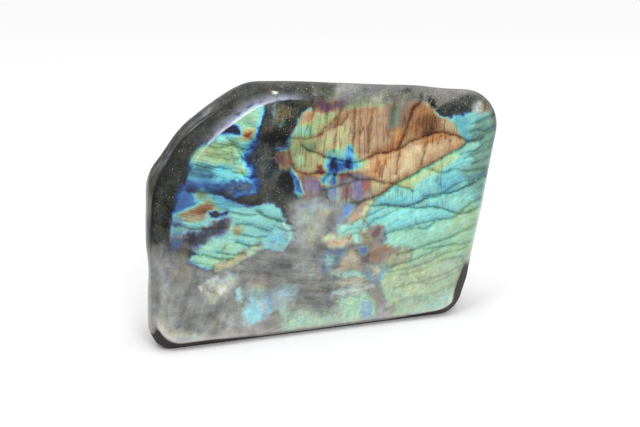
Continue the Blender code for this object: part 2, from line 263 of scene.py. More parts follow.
# The large sheet of gold, peach and copper.
COPPER_SHEET = (
    Flake("peach sheet", 0.77, (-8, 76.2, -4, 76, 0, 76.2, 4, 77, 8, 76.6, 13, 76, 20, 75.4, 26, 75.4,
        30, 76.2, 34, 76.4, 37, 74.2, 38.4, 72, 43, 70, 46, 67.4, 48.4, 63.6, 50.2, 61.6, 49.6, 60.7,
        47, 59.4, 40, 56.6, 35, 54.2, 30, 51.9, 25, 49.8, 22, 48, 16.5, 45.5, 12.6, 44.6, 5, 44.2,
        -4, 46.6, -9.5, 47.4, -12, 49.7, -12.4, 52.4, -13.3, 55, -14.7, 57, -15.2, 60, -15.3, 64, -15, 67,
        -13.6, 69, -12.2, 71.6, -10.8, 74.6), 1.6, 0.74, 0.94, 120, waver=0.6),
    Flake("upper left green", 0.62, (-9.2, 75.4, -6.6, 74.8, -1, 75.2, 2.6, 75, 0.5, 71.5, -2, 69.6,
        -7, 67.5, -11.5, 67.6, -13.4, 68.4, -11.2, 71.4), 2.4, 0.9, 0.9, 120),
    Flake("upper left orange", 0.79, (-10, 74.8, -6.6, 75.2, -6.4, 72.6, -8, 71.2, -10.4, 71.6), 2.4,
        0.84),
    Flake("upper left aqua", 0.5, (-13, 69.4, -10.6, 71.4, -7.6, 70.6, -7, 68.4, -10, 67.8, -13, 68), 3,
        0.75),
    Flake("left green", 0.595, (-15.2, 66.8, -11, 67, -6.5, 67, -3.4, 66.4, -3.6, 63.5, -5.5, 61.2,
        -9, 61.4, -15.2, 60.6), 3.5, 0.48),
    Flake("left yellow green", 0.65, (-15.2, 60.6, -10, 61, -5.6, 61, -3, 60, -3.2, 57, -6, 55.3,
        -10, 55.4, -13.6, 56.6), 4, 0.68, 0.95, 120),
    Flake("left block pale", 0.56, (-14, 61, -10.8, 61, -10.8, 58.4, -13.6, 57.4), 1.2, 0.85, 0.85, 120),
    Haze("square spot", 0.8, (-18.8, 62, -16.8, 63, -15.6, 62.8, -15.4, 58.6, -17, 57.6, -18.9, 58.2), 1.2,
        0.5, 0.8, 80, waver=0.7),
    Haze("square spot heart", 0.95, (-19.4, 61.7, -17.4, 61.8, -17, 59.6, -19, 59.5), 1, 0.5, 0.7, 70),
    Flake("square spot blue", 0.18, (-20, 64.6, -18, 64.6, -16, 63.9, -16, 63.2, -18.6, 63), 1, 0.6, 0.75,
        90),
    Flake("cream centre", 0.685, (-3.4, 67.4, 0, 69.4, 5.5, 70.6, 8, 68, 8.2, 62.4, 6, 60.6, 2, 60.2,
        -3, 60.6, -4, 64), 4.5, 0.95, 0.82, 120),
    Flake("cream aqua foot", 0.5, (-3.4, 62.4, 3, 62.6, 4.2, 60.6, 8.6, 60.4, 8.6, 58.2, 0, 58.4, -3.4, 60),
        1.6, 0.8, 0.85, 120),
    Flake("green under crack", 0.58, (8, 59.6, 12.5, 59.4, 12.5, 55.8, 9.5, 55.2, 7.5, 57), 3, 1, 0.85,
        120),
    Flake("peach heart", 0.785, (9.5, 73, 19.5, 73, 21.6, 66.8, 20, 61.5, 14, 60.4, 9, 61.6), 5, 0.8, 0.8,
        150, waver=0.6),
    Flake("lime rim", 0.6, (3.6, 77, 9, 77.6, 14, 77, 20, 76.4, 20.4, 75.2, 14, 75.6, 9, 75.8, 4, 75.6),
        1.2, 0.8, 0.85, 110),
    Flake("hazy tan", 0.78, (19.6, 76, 29, 76, 27.4, 69, 25.6, 66.8, 22.6, 66.6, 20.4, 70), 2.6, 0.44,
        0.75, 118),
    Haze("hazy teal", 0.58, (21, 69.6, 21.6, 73, 22.8, 75, 24, 75, 23.4, 71.4, 22.4, 69.2), 1, 0.6, 0.32,
        114),
    Flake("golden band", 0.815, (21.8, 68, 25.6, 68, 26.6, 64.6, 24, 61.6, 20.6, 61.2), 3, 0.98),
    Flake("golden low", 0.79, (12.6, 59.6, 18, 60.4, 24.4, 61.6, 24, 57.6, 18.2, 54, 15, 51.2, 11.6, 52,
        12.2, 56), 3.5, 1.06),
    Flake("cream lens", 0.725, (26.6, 61.6, 30, 63, 36, 63.6, 35.2, 56, 30, 53, 24.2, 50.6, 18.6, 51.6,
        20.4, 55.6, 24.4, 58.6), 4, 1.12, 0.84, 120),
    Flake("cream low left", 0.73, (16.4, 51.8, 19.6, 52.6, 22.2, 50.2, 18.6, 48.2, 14, 47.2, 13.2, 49.8),
        3, 1.05, 0.88, 120),
    Flake("green low left", 0.65, (13.6, 50.2, 18.6, 49.4, 17.6, 47.2, 13.4, 46), 2.6, 0.74, 0.9, 120),
    Flake("golden right lens", 0.77, (36.6, 64.4, 46.2, 63.2, 48, 61, 40, 57.2, 35.6, 56.6, 36, 61), 3.5,
        0.88, 0.92, 120),
    Flake("cream lens right", 0.735, (36, 60.6, 41, 60, 43, 58.4, 38, 56, 35.2, 56), 3.5, 1, 0.85, 120),
    Flake("upper right peach", 0.71, (40.4, 68.6, 44, 68.4, 47.6, 64.6, 43.4, 64.9, 40.2, 65.8), 3, 0.8,
        0.88, 120),
    Flake("ember cloud", 0.835, (30.2, 76, 33, 76.6, 36, 75, 37.6, 72, 38.6, 67, 34, 65.2, 28.4, 64.6,
        27.8, 67.8, 28.8, 71.8), 2, 0.62, 0.94, 120, waver=1.4),
    Flake("brown cloud", 0.86, (32.4, 68, 33, 70.8, 36, 71.4, 38.6, 69.8, 38.6, 66.6, 36, 65, 33.2, 65.6),
        2.4, 0.4, 0.8, 60, waver=1.6),
    Flake("ember glow", 0.84, (29.6, 62, 34, 64.4, 39, 65, 42.6, 63.6, 39, 62.2, 34, 61.2), 2.4, 0.86),
    Flake("orange-red low left", 0.865, (-13.2, 55.2, -10, 54.8, -5.6, 55, -5.6, 52.9, -9, 52.2,
        -12.4, 52.6), 1.3, 0.95, 0.95, 120),
    Haze("mauve low left", 0.985, (-12.4, 52.4, -8.6, 52.4, -6.2, 52, -5, 49.4, -7.4, 47.6, -10, 47.4,
        -12.1, 49.4), 2.2, 0.85, 0.55, 128),
    Flake("blue at hole", 0.17, (-15.4, 56.4, -13.8, 55.6, -12.3, 52.8, -11.2, 49, -12.4, 47.8,
        -13.8, 49.6, -14.3, 52.6), 1.2, 0.72),
    Flake("rust at hole", 0.905, (-5.6, 57.8, -3.2, 58.2, -2.4, 56, -4, 54.8, -6.4, 55), 1.2, 0.54),
    Flake("cyan wedge", 0.27, (-5.6, 52.6, -3.4, 54.4, -1.2, 54.4, -2.6, 52.2, -4.8, 51), 1, 0.5),
    Flake("grey lilac low", 0.3, (-2.4, 53, 0.5, 53, 0, 50.6, -3.4, 50.8), 1.3, 0.8, 0.6, 150),
    Flake("blue streak", 0.15, (-0.2, 54.8, 2, 54.6, 1.4, 51, -0.2, 49.4, -1.6, 50.2), 1.8, 0.58),
    Flake("blue pool", 0.17, (-2.8, 58.6, 0.2, 60, 2.8, 58.8, 4.2, 59.6, 5.4, 62.6, 6.6, 62, 7, 59,
        8.8, 56.8, 7, 54.8, 3.4, 54.2, -2, 53.8), 2.8, 0.8),
    Flake("blue pool plume", 0.27, (4.2, 61.6, 5.6, 63.6, 7, 62, 6.8, 59.6, 4.6, 59.4), 1.2, 0.92),
    Flake("black core left", 0.02, (-0.6, 58.6, 0.6, 59.4, 1.4, 57.8, 1.2, 56, -0.2, 56), 1.6, 0.36),
    Flake("black core right", 0.03, (4.4, 57.6, 5.6, 57.8, 5.8, 55.6, 4.6, 55.4), 1.6, 0.36),
    Haze("mauve lens", 0.94, (2.6, 53.2, 4.6, 54, 7, 53.4, 9, 52.2, 9, 50.8, 5.6, 50.6, 2.6, 50.6), 1.8,
        0.66, 0.85),
    Haze("violet patch", 0.985, (5.4, 50.6, 9.4, 51.6, 11.6, 49.6, 11.8, 46.4, 10.4, 44.2, 7, 43.8,
        5.6, 46.4), 2.4, 0.9, 0.72, 150),
    Flake("violet hot edge", 0.92, (10.4, 50.8, 12, 50, 12.4, 46.6, 11.6, 44.6, 10.8, 46.6, 10.8, 49), 1.8,
        0.95),
    Haze("lilac grey low", 0.95, (0.4, 49.8, 5, 50.4, 5.4, 46.6, 6, 44.4, 1.6, 44.6, -0.4, 46.6), 1.4,
        0.75, 0.55, 125, waver=1.4),
    Haze("lilac blue streak", 0.22, (-2, 49, 0.6, 49.4, 0.6, 46.6, -1.2, 45.6), 1.8, 0.85, 0.5, 150),
    Haze("grey mix low", 0.05, (-9.6, 48, -5, 49.2, -2.4, 48.6, -2.4, 45.6, -6, 45.4, -10, 46), 1.6, 1.2,
        0, 74, waver=1.6),
    Haze("plum top band", 0.95, (-6, 76.6, -5.4, 78.6, -1, 79.2, 3.4, 79.6, 4.8, 78.6, 3, 77.2, 0, 76.4,
        -3, 76), 1.6, 0.54, 0.75, 90, waver=1),
    Haze("green grey top", 0.5, (5, 77.4, 8, 79.6, 13, 80, 18, 79.4, 19.6, 77.4, 14, 76.8, 8, 76.6), 2,
        0.66, 0.26, 100, waver=1.5),
    Haze("grey top right", 0.66, (19.6, 81, 31, 80.8, 35, 79, 35.8, 77, 31, 76.8, 26, 76, 20, 76), 2.4,
        0.62, 0.1, 97, waver=1.4),
    Haze("pale blue top", 0.26, (14.6, 77.2, 14.8, 79.4, 17.6, 79.8, 18.2, 77.4), 1.6, 1, 0.2, 150,
        waver=1.6),
    Haze("violet grey top", 0.24, (-9.6, 81.6, -4, 82.6, 0, 81.6, 0.6, 79.8, -4, 79.4, -9, 79.6), 2, 1, 0,
        102),
    Haze("pale top", 0.5, (0, 85, 10, 84.6, 9.6, 81.4, 5, 79.4, 0.6, 79.8, 1.8, 82.6), 2.6, 1, 0, 136,
        waver=1.4),
    Haze("dull top", 0.7, (8, 85, 40, 83, 40, 79.6, 30, 81, 22, 81.4, 12, 81.6), 3, 1, 0.05, 98,
        waver=1.4),
    Haze("olive top", 0.63, (-3.4, 84.4, -3, 81, -1, 79.8, 1.6, 80.6, 2.4, 84.6), 1.4, 0.45, 0.36, 60,
        waver=1.5),
    Haze("brown knots", 0, (26.2, 80.4, 27.6, 81.6, 29.8, 81.2, 29.2, 80, 27.4, 79.8), 1, 1, 0, 40,
        waver=0.9),
    Haze("crown dark", 0, (-34, 86, -12, 86, -6, 82, -8, 78.8, -14, 79.4, -24, 80.4, -32, 78.4, -38, 76.6,
        -42, 78), 3, 1, 0, 64, waver=1.3),
    # A small spot painted brighter than white.
    Haze("white spot at the crown", 0, (-20.6, 83, -18.4, 82.8, -19, 81.8, -19.8, 81.6), 0.3, 1, 0, 262, waver=0.2),
)

# The wide teal sheet at the right.
TEAL_SHEET = (
    Flake("teal sheet", 0.435, (12.8, 44.6, 16.5, 45.5, 22, 48, 25, 49.8, 30, 51.9, 35, 54.2, 40, 56.6,
        47, 59.4, 49.8, 60.9, 47.6, 64.4, 45.4, 67.2, 42.6, 69.6, 46, 71, 51, 71.5, 56, 73.5, 62, 73,
        66, 64, 58, 36, 52, 16, 46, 2, 24, 0, 19, 2, 18, 12, 15.4, 19, 16.6, 26, 18.6, 30.6, 17.6, 35.4,
        14.6, 36.4, 10.6, 35.2, 8.6, 37.4, 11, 42), 1.3, 0.9, 0.9, 120, slope=Slope(30, 40, 36, 12, 0.61)),
    Flake("teal low right", 0.565, (19, 17, 30, 21, 44, 22.6, 52, 23.6, 50, 14, 46, 3, 22, 1, 18.6, 10), 7,
        0.98, 0.5, 152),
    Flake("yellow green heart", 0.6, (21, 20, 34, 20.6, 40, 19, 36, 13, 24, 10.6, 19, 13), 5, 1.06, 0.6,
        152),
    Flake("aqua corner", 0.47, (28, 4.4, 34, 5.6, 42, 8.6, 44, 6, 38, 3, 28, 2.6), 2.2, 0.92, 0.55, 160),
    Flake("cyan band", 0.37, (37, 46.6, 38.6, 50.6, 42, 51.6, 46, 51.6, 50, 50.4, 48, 47.8, 43, 46,
        38.6, 45), 1.8, 0.76, 0.96, 120),
    Flake("cyan band left", 0.4, (18.6, 43.4, 24, 44.6, 30, 46, 34, 46.6, 33, 44.6, 26, 41.6, 19, 42), 1.8,
        0.98, 0.92, 120),
    Flake("pale green under lens", 0.61, (30, 51.6, 36, 54.4, 44, 57.6, 47.4, 58.8, 45, 54.4, 40, 52.4,
        34, 50.6, 27.4, 47.4, 24, 48.6), 2, 1.03, 0.86, 120),
    Flake("olive under lens", 0.63, (22.6, 48.2, 27, 50.4, 30.4, 50.4, 29.4, 47.4, 27.6, 46.6, 24, 47.3),
        1.4, 0.98, 0.94, 120),
    Flake("cyan lower band", 0.41, (22, 39.4, 30, 39.8, 38, 39, 43, 37.4, 44, 35.6, 36, 36, 28, 34.8,
        19.6, 34.4, 18.4, 37), 2.2, 1.02, 0.88, 120),
    Flake("teal block", 0.44, (35, 43, 41, 44.2, 47, 45, 50, 44, 48, 40.4, 42, 39.2, 35, 40.4), 2, 0.92,
        0.86, 120),
    Flake("green right edge", 0.545, (46, 38, 54, 41, 56, 37, 53, 26, 49, 24.6, 44, 27, 40, 29, 44, 34), 3,
        0.85, 0.9, 120),
    Flake("dim right edge", 0.47, (48, 53, 60, 53, 58, 46, 56, 38, 53.4, 40, 52.6, 44, 50, 47, 47, 50), 3,
        0.55, 0.88, 110),
    Flake("upper right teal", 0.5, (50.4, 62, 52, 66, 56, 69, 61, 70, 63, 64, 61, 57, 58, 50, 52, 51,
        48, 53, 52, 57.6), 2.4, 0.48, 0.9, 120, waver=1.3),
    Flake("cyan tongue", 0.49, (49, 60.3, 54, 61.6, 55.4, 60.4, 52, 58.6, 48.6, 57.6, 46, 58.6), 1.3,
        0.88),
    Flake("cyan tongue low", 0.41, (44, 55, 50, 57, 52.4, 55.6, 52, 53.4, 46, 52.6, 42, 53), 1.6, 0.9),
    Flake("light blue fall", 0.35, (45.2, 70.8, 49.4, 71.6, 50.6, 67, 50.8, 63.4, 48.6, 63.6, 46.4, 66.4,
        44.8, 68.6), 2, 0.7, 0.92, 120),
    Flake("blue under specks", 0.2, (38.4, 72.4, 41, 72.6, 45, 72.4, 45.4, 71, 42, 70.6, 39, 71), 1, 0.9),
    Flake("black specks", 0, (38.6, 72.8, 40.4, 75.6, 44, 76.2, 47, 75.4, 48.8, 73.4, 48.2, 70.8,
        45.6, 71.6, 43, 71.4, 40.6, 71.2), 0.9, 0.55, 0, 58, waver=0.9),
    Haze("dark patch right", 0, (49, 75.4, 50.4, 77.2, 53.8, 76.6, 54.8, 75, 52, 73.8, 49.6, 74), 0.9, 1,
        0, 66, waver=1),
    Haze("dark knob", 0, (35.2, 78.8, 36.8, 78.2, 38, 75.4, 37.6, 73.4, 36.2, 74.2, 35.6, 76.4), 0.8, 1, 0,
        36, waver=0.7),
    Haze("grey top corner", 0.02, (36, 84, 52, 81, 60, 76, 60, 72.8, 56, 75.6, 53, 77.6, 49, 77.8, 45, 77,
        40, 77.6, 36, 79), 2, 1.1, 0, 116, waver=1),
    Haze("corner rim", 0, (52, 83, 66, 79, 66, 60, 60.6, 66, 59.4, 73, 54.6, 78.6), 2.4, 1, 0, 88),
    Haze("chalky patch", 0.7, (51.6, 73.6, 54, 74.6, 56.4, 74.4, 57.6, 72, 57, 70, 54.4, 70.2, 52.4, 71.6),
        1.2, 1, 0.15, 168, waver=1.3),
    Haze("chalky ember", 0.84, (57, 75.4, 59, 74, 58.8, 71.6, 57.6, 72.2), 1, 0.5, 0.3, 80),
)

# Small patches in the cloud, right of the middle.
PATCHES = (
    Haze("violet wedge", 0.21, (0.4, 36.8, 2.6, 38.2, 4.6, 39.2, 6.4, 41.6, 6.6, 42.8, 4.4, 44.4,
        2.6, 43.8, 1.4, 41.4, 0, 39), 1.5, 1.3, 0.72, 150),
    Haze("grey at wedge", 0.02, (-2.6, 36, 0.6, 37.2, 2.8, 40.4, 2.6, 43.2, 0, 43.4, -2.4, 40), 2, 1, 0,
        120, waver=1.3),
    Haze("pink strip", 0.82, (5, 36.8, 7.6, 37, 10.6, 41, 13.2, 45.2, 12.4, 46.4, 9.6, 43.4, 7.2, 40.6,
        5.4, 38.6), 1.2, 1.25, 0.66, 150),
    Haze("yellow strip", 0.64, (7.8, 36.8, 9, 37, 11.6, 41, 14.2, 45.6, 13.2, 45.8, 10.6, 41.6), 1, 1.12,
        0.8, 150),
    Haze("aqua fan left", 0.48, (1, 36.6, 5, 36.4, 9.6, 37.2, 11.2, 35.6, 10.6, 30.6, 6, 30.6, 4.8, 32,
        -0.6, 31.6, -0.4, 34), 1.2, 1.08, 0.78, 150),
    Haze("lime strip", 0.61, (-5.2, 34.6, -1.6, 34.6, 0, 33, -0.6, 32, -5.2, 32.4), 1.3, 1.2, 0.7, 150),
    Haze("orange strip", 0.75, (-3.2, 31.8, 1, 31.6, 5, 32, 4.6, 30.6, 2, 29.2, -2.4, 29.6), 1.4, 1.12,
        0.6, 150),
    Haze("blue waves", 0.2, (-4.4, 28.4, -1, 28.4, 2, 28.4, 4.2, 26.6, 2.6, 24.6, 0.4, 24.8, -1.2, 22.4,
        -3.4, 21.6, -2.4, 20.2, -4.4, 23, -5, 26), 1.3, 0.8, 0.42, 108),
    Haze("blue waves core", 0.42, (-3.5, 26.6, -0.6, 26.8, -0.6, 25.2, -2.6, 24.2, -3.6, 25), 1.1, 0.85,
        0.5, 150),
    Haze("steel dark", 0.04, (-1, 23.6, 2, 24.4, 4, 26.4, 6.4, 29, 7.8, 28.4, 5.4, 25.2, 2.4, 23.4,
        -0.6, 22.2), 1.2, 1, 0, 112),
    Haze("ochre triangle", 0.74, (3.6, 26.6, 6, 27.4, 7.4, 25.6, 8.4, 22.4, 9.8, 20, 4, 20.6, -0.8, 21.6,
        1.6, 23), 1.4, 0.76, 0.58, 142),
    Haze("teal stripes", 0.46, (-1, 20.6, 5, 20.4, 10.4, 19.6, 13.6, 17.2, 8, 17, 2, 18.4), 1.3, 0.95,
        0.58, 150),
    Haze("peach stripe", 0.73, (0.6, 17.6, 6, 17.4, 11, 17, 12.6, 15.4, 8, 14.8, 1.6, 15), 1.4, 1, 0.45,
        150),
    Haze("lavender stripe", 0.3, (-1.6, 14.2, 4, 14.4, 9, 14.3, 14, 15.6, 13.6, 13.6, 8, 12.8, -1.4, 12.6),
        1.3, 1.15, 0.42, 182),
    Haze("brown blob", 0.84, (9.6, 29.2, 9.6, 33.6, 12, 34, 14, 33.8, 15, 35, 16.6, 35, 16.8, 33,
        15.4, 31.4, 14.4, 30, 14.2, 28.4, 12.2, 27.8), 0.9, 0.52, 0.6, 112, waver=0.8),
    Haze("olive in blob", 0.68, (10.2, 32.6, 13.4, 32.8, 14.2, 30.8, 14, 28.8, 11.4, 28.6, 10.2, 30), 1.4,
        0.42, 0.8, 110),
    Haze("dark red of blob", 0.93, (13.4, 32.8, 14.2, 34.6, 16.2, 34.8, 16.4, 33, 15, 31.4, 13.8, 31.4),
        0.9, 0.5, 0.6, 96, waver=0.8),
    Haze("purple column", 0.985, (8.6, 28.6, 12.4, 28.8, 12.6, 24.6, 11.4, 22, 10.2, 21.6, 9, 24), 1.6,
        0.6, 0.4, 86, waver=0.8),
    Haze("blue bead", 0.17, (8.9, 28.6, 11.4, 28.8, 11.6, 27, 9.6, 26.4), 1.2, 1, 0.65, 120),
    Haze("blue wisps", 0.24, (11, 21.4, 13, 19.2, 15, 17.6, 16.6, 20.6, 17.4, 21.6, 16.2, 17.6, 14, 15.6,
        11.6, 17.6), 1.4, 0.85, 0.38, 138),
    Haze("peach bead", 0.7, (13, 21.6, 15, 21.8, 15.6, 20, 13.8, 18.8), 1.1, 1, 0.6, 150),
    Haze("peach blob", 0.84, (12.6, 28, 15, 28, 17.6, 27.8, 20.4, 27.2, 22.4, 25.8, 23.4, 24.2,
        21.4, 23.6, 19.4, 23.6, 17, 23.2, 14.6, 23, 12.4, 23.8), 0.9, 0.56, 0.56, 116, waver=0.8),
    Haze("red tip", 0.9, (20.6, 26, 23.2, 25, 23.4, 23.8, 21, 24), 0.9, 0.9, 0.6),
    Haze("dark crumbs of blob", 0.2, (19.6, 25.6, 21.6, 26.6, 24, 25.4, 23.2, 24.4, 20.6, 24.6), 0.8, 1,
        0.2, 72, waver=1.8),
    Haze("tan haze", 0.63, (20, 24.6, 22.6, 25.4, 26.4, 25.4, 27, 24, 24, 22.6, 20, 22.4, 18, 22.8), 2,
        0.74, 0.55, 128),
    Haze("mauve vein", 0.9, (12.4, 14, 15.4, 12.6, 16.6, 8.6, 16.4, 5.6, 14.2, 6.4, 13, 10), 1.5, 0.7, 0.4,
        124),
    Haze("grey below vein", 0.03, (15.6, 8, 18.6, 8.6, 20.8, 6, 20, 2, 15.6, 2, 15, 5), 1.8, 1.05, 0, 148),
    Haze("pale green bottom", 0.52, (-20, 9, -12, 9.4, -6, 6, -1, 7.4, 2, 11.6, 8, 12.6, 10, 11, 10.4, 2,
        -20, 2), 4.5, 1.12, 0.5, 158),
    Haze("aqua bottom", 0.53, (1, 10.6, 9, 12, 13, 10.4, 14.4, 5, 13.4, 2.4, 2, 2.6), 2, 1.08, 0.66, 150),
    Haze("blue vein bottom", 0.27, (10, 8.4, 11, 9.4, 11.8, 6.6, 12, 3, 10.8, 3, 10.2, 5.6), 1.2, 1, 0.36,
        150),
)

# Signs of colour in the cloud at the lower left.
CLOUD_SIGNS = (
    Haze("haze light", 0.42, (-14, 46, -8, 47.6, -1, 45.6, -2, 40, -5, 35, -8, 31.6, -12, 30.6, -15, 34,
        -15.6, 38), 4, 0.9, 0.14, 142),
    Haze("haze band dark", 0.02, (-30, 28, -24, 31, -18, 29.6, -10, 30, -5.6, 28.6, -3, 22, -1, 17,
        -2.4, 11, -7, 9.6, -12, 12, -14, 17, -20, 20, -27, 20.6, -32, 22), 5, 0.95, 0, 112),
    Haze("pale swirl", 0.2, (-16, 27.4, -10, 27, -5, 23, -5, 19, -10, 19.4, -15, 21, -18, 24.6), 3, 1,
        0.05, 132),
    Haze("dark swirl", 0, (-27, 25.6, -20, 26.8, -15.6, 24.8, -17.6, 22.4, -24, 22.6), 2.6, 1, 0, 100),
    Haze("dark right swirl", 0, (-8, 31, -1, 30.6, 1.6, 26, 1, 21.6, -3.4, 22.6, -6.4, 27), 2.6, 1, 0,
        108),
    Haze("cream cloud", 0.7, (-43.6, 24.6, -40, 25.8, -35.6, 24.6, -34.6, 21.6, -37.6, 19.6, -41, 19.2,
        -44, 21.4), 2.6, 1.1, 0.22, 160, waver=2.2),
    Haze("whitish shards", 0.6, (-44, 22, -42, 26, -39.6, 25.4, -40.6, 22, -38.4, 19.6, -41, 18.6), 1.2, 1,
        0.1, 182, waver=2.4),
    Haze("cream bit left", 0.7, (-48, 21.4, -46, 22.4, -45.4, 20.6, -47, 19.6), 1, 1, 0.15, 180,
        waver=1.6),
    Haze("violet haze", 0.3, (-45.6, 19.6, -42, 19.2, -40.6, 17.2, -43, 15, -46, 15.6), 1.8, 1, 0.2, 152,
        waver=1.6),
    Haze("cyan glint tall", 0.38, (-35.2, 18.8, -33.8, 19.2, -33, 17.4, -33.6, 14.8, -35, 15.6), 1.6, 1.25,
        0.5, 190, waver=1.8),
    Haze("cyan streaks", 0.34, (-32.6, 6.8, -32, 11.6, -30, 15.6, -26.6, 16, -25, 14, -23, 12.4,
        -21, 11.6, -22.6, 9.4, -26, 8.4, -27, 6.6, -29.4, 6.2), 2.2, 1.2, 0.66, 172, waver=2.2),
    Haze("pale blue haze", 0.3, (-24, 17, -19, 18.6, -15.4, 17, -15.2, 12, -20, 9.6, -24.6, 10.6,
        -26, 13.6), 2.4, 1.05, 0.3, 146),
    Haze("teal haze", 0.42, (-31, 20, -26, 19.6, -25, 16, -29, 14.6, -32, 16.6), 2.4, 0.95, 0.22, 132),
    Haze("olive strip left", 0.6, (-60.6, 15, -58.6, 15.2, -57.6, 12, -58, 8.6, -60.4, 9), 1.4, 1, 0.24,
        122),
    Haze("pink corner", 0.83, (-60, 9.4, -57, 8.2, -54, 6.2, -46, 5.2, -47, 3.6, -56, 3.8, -61, 6), 2.2,
        1.2, 0.2, 150),
)

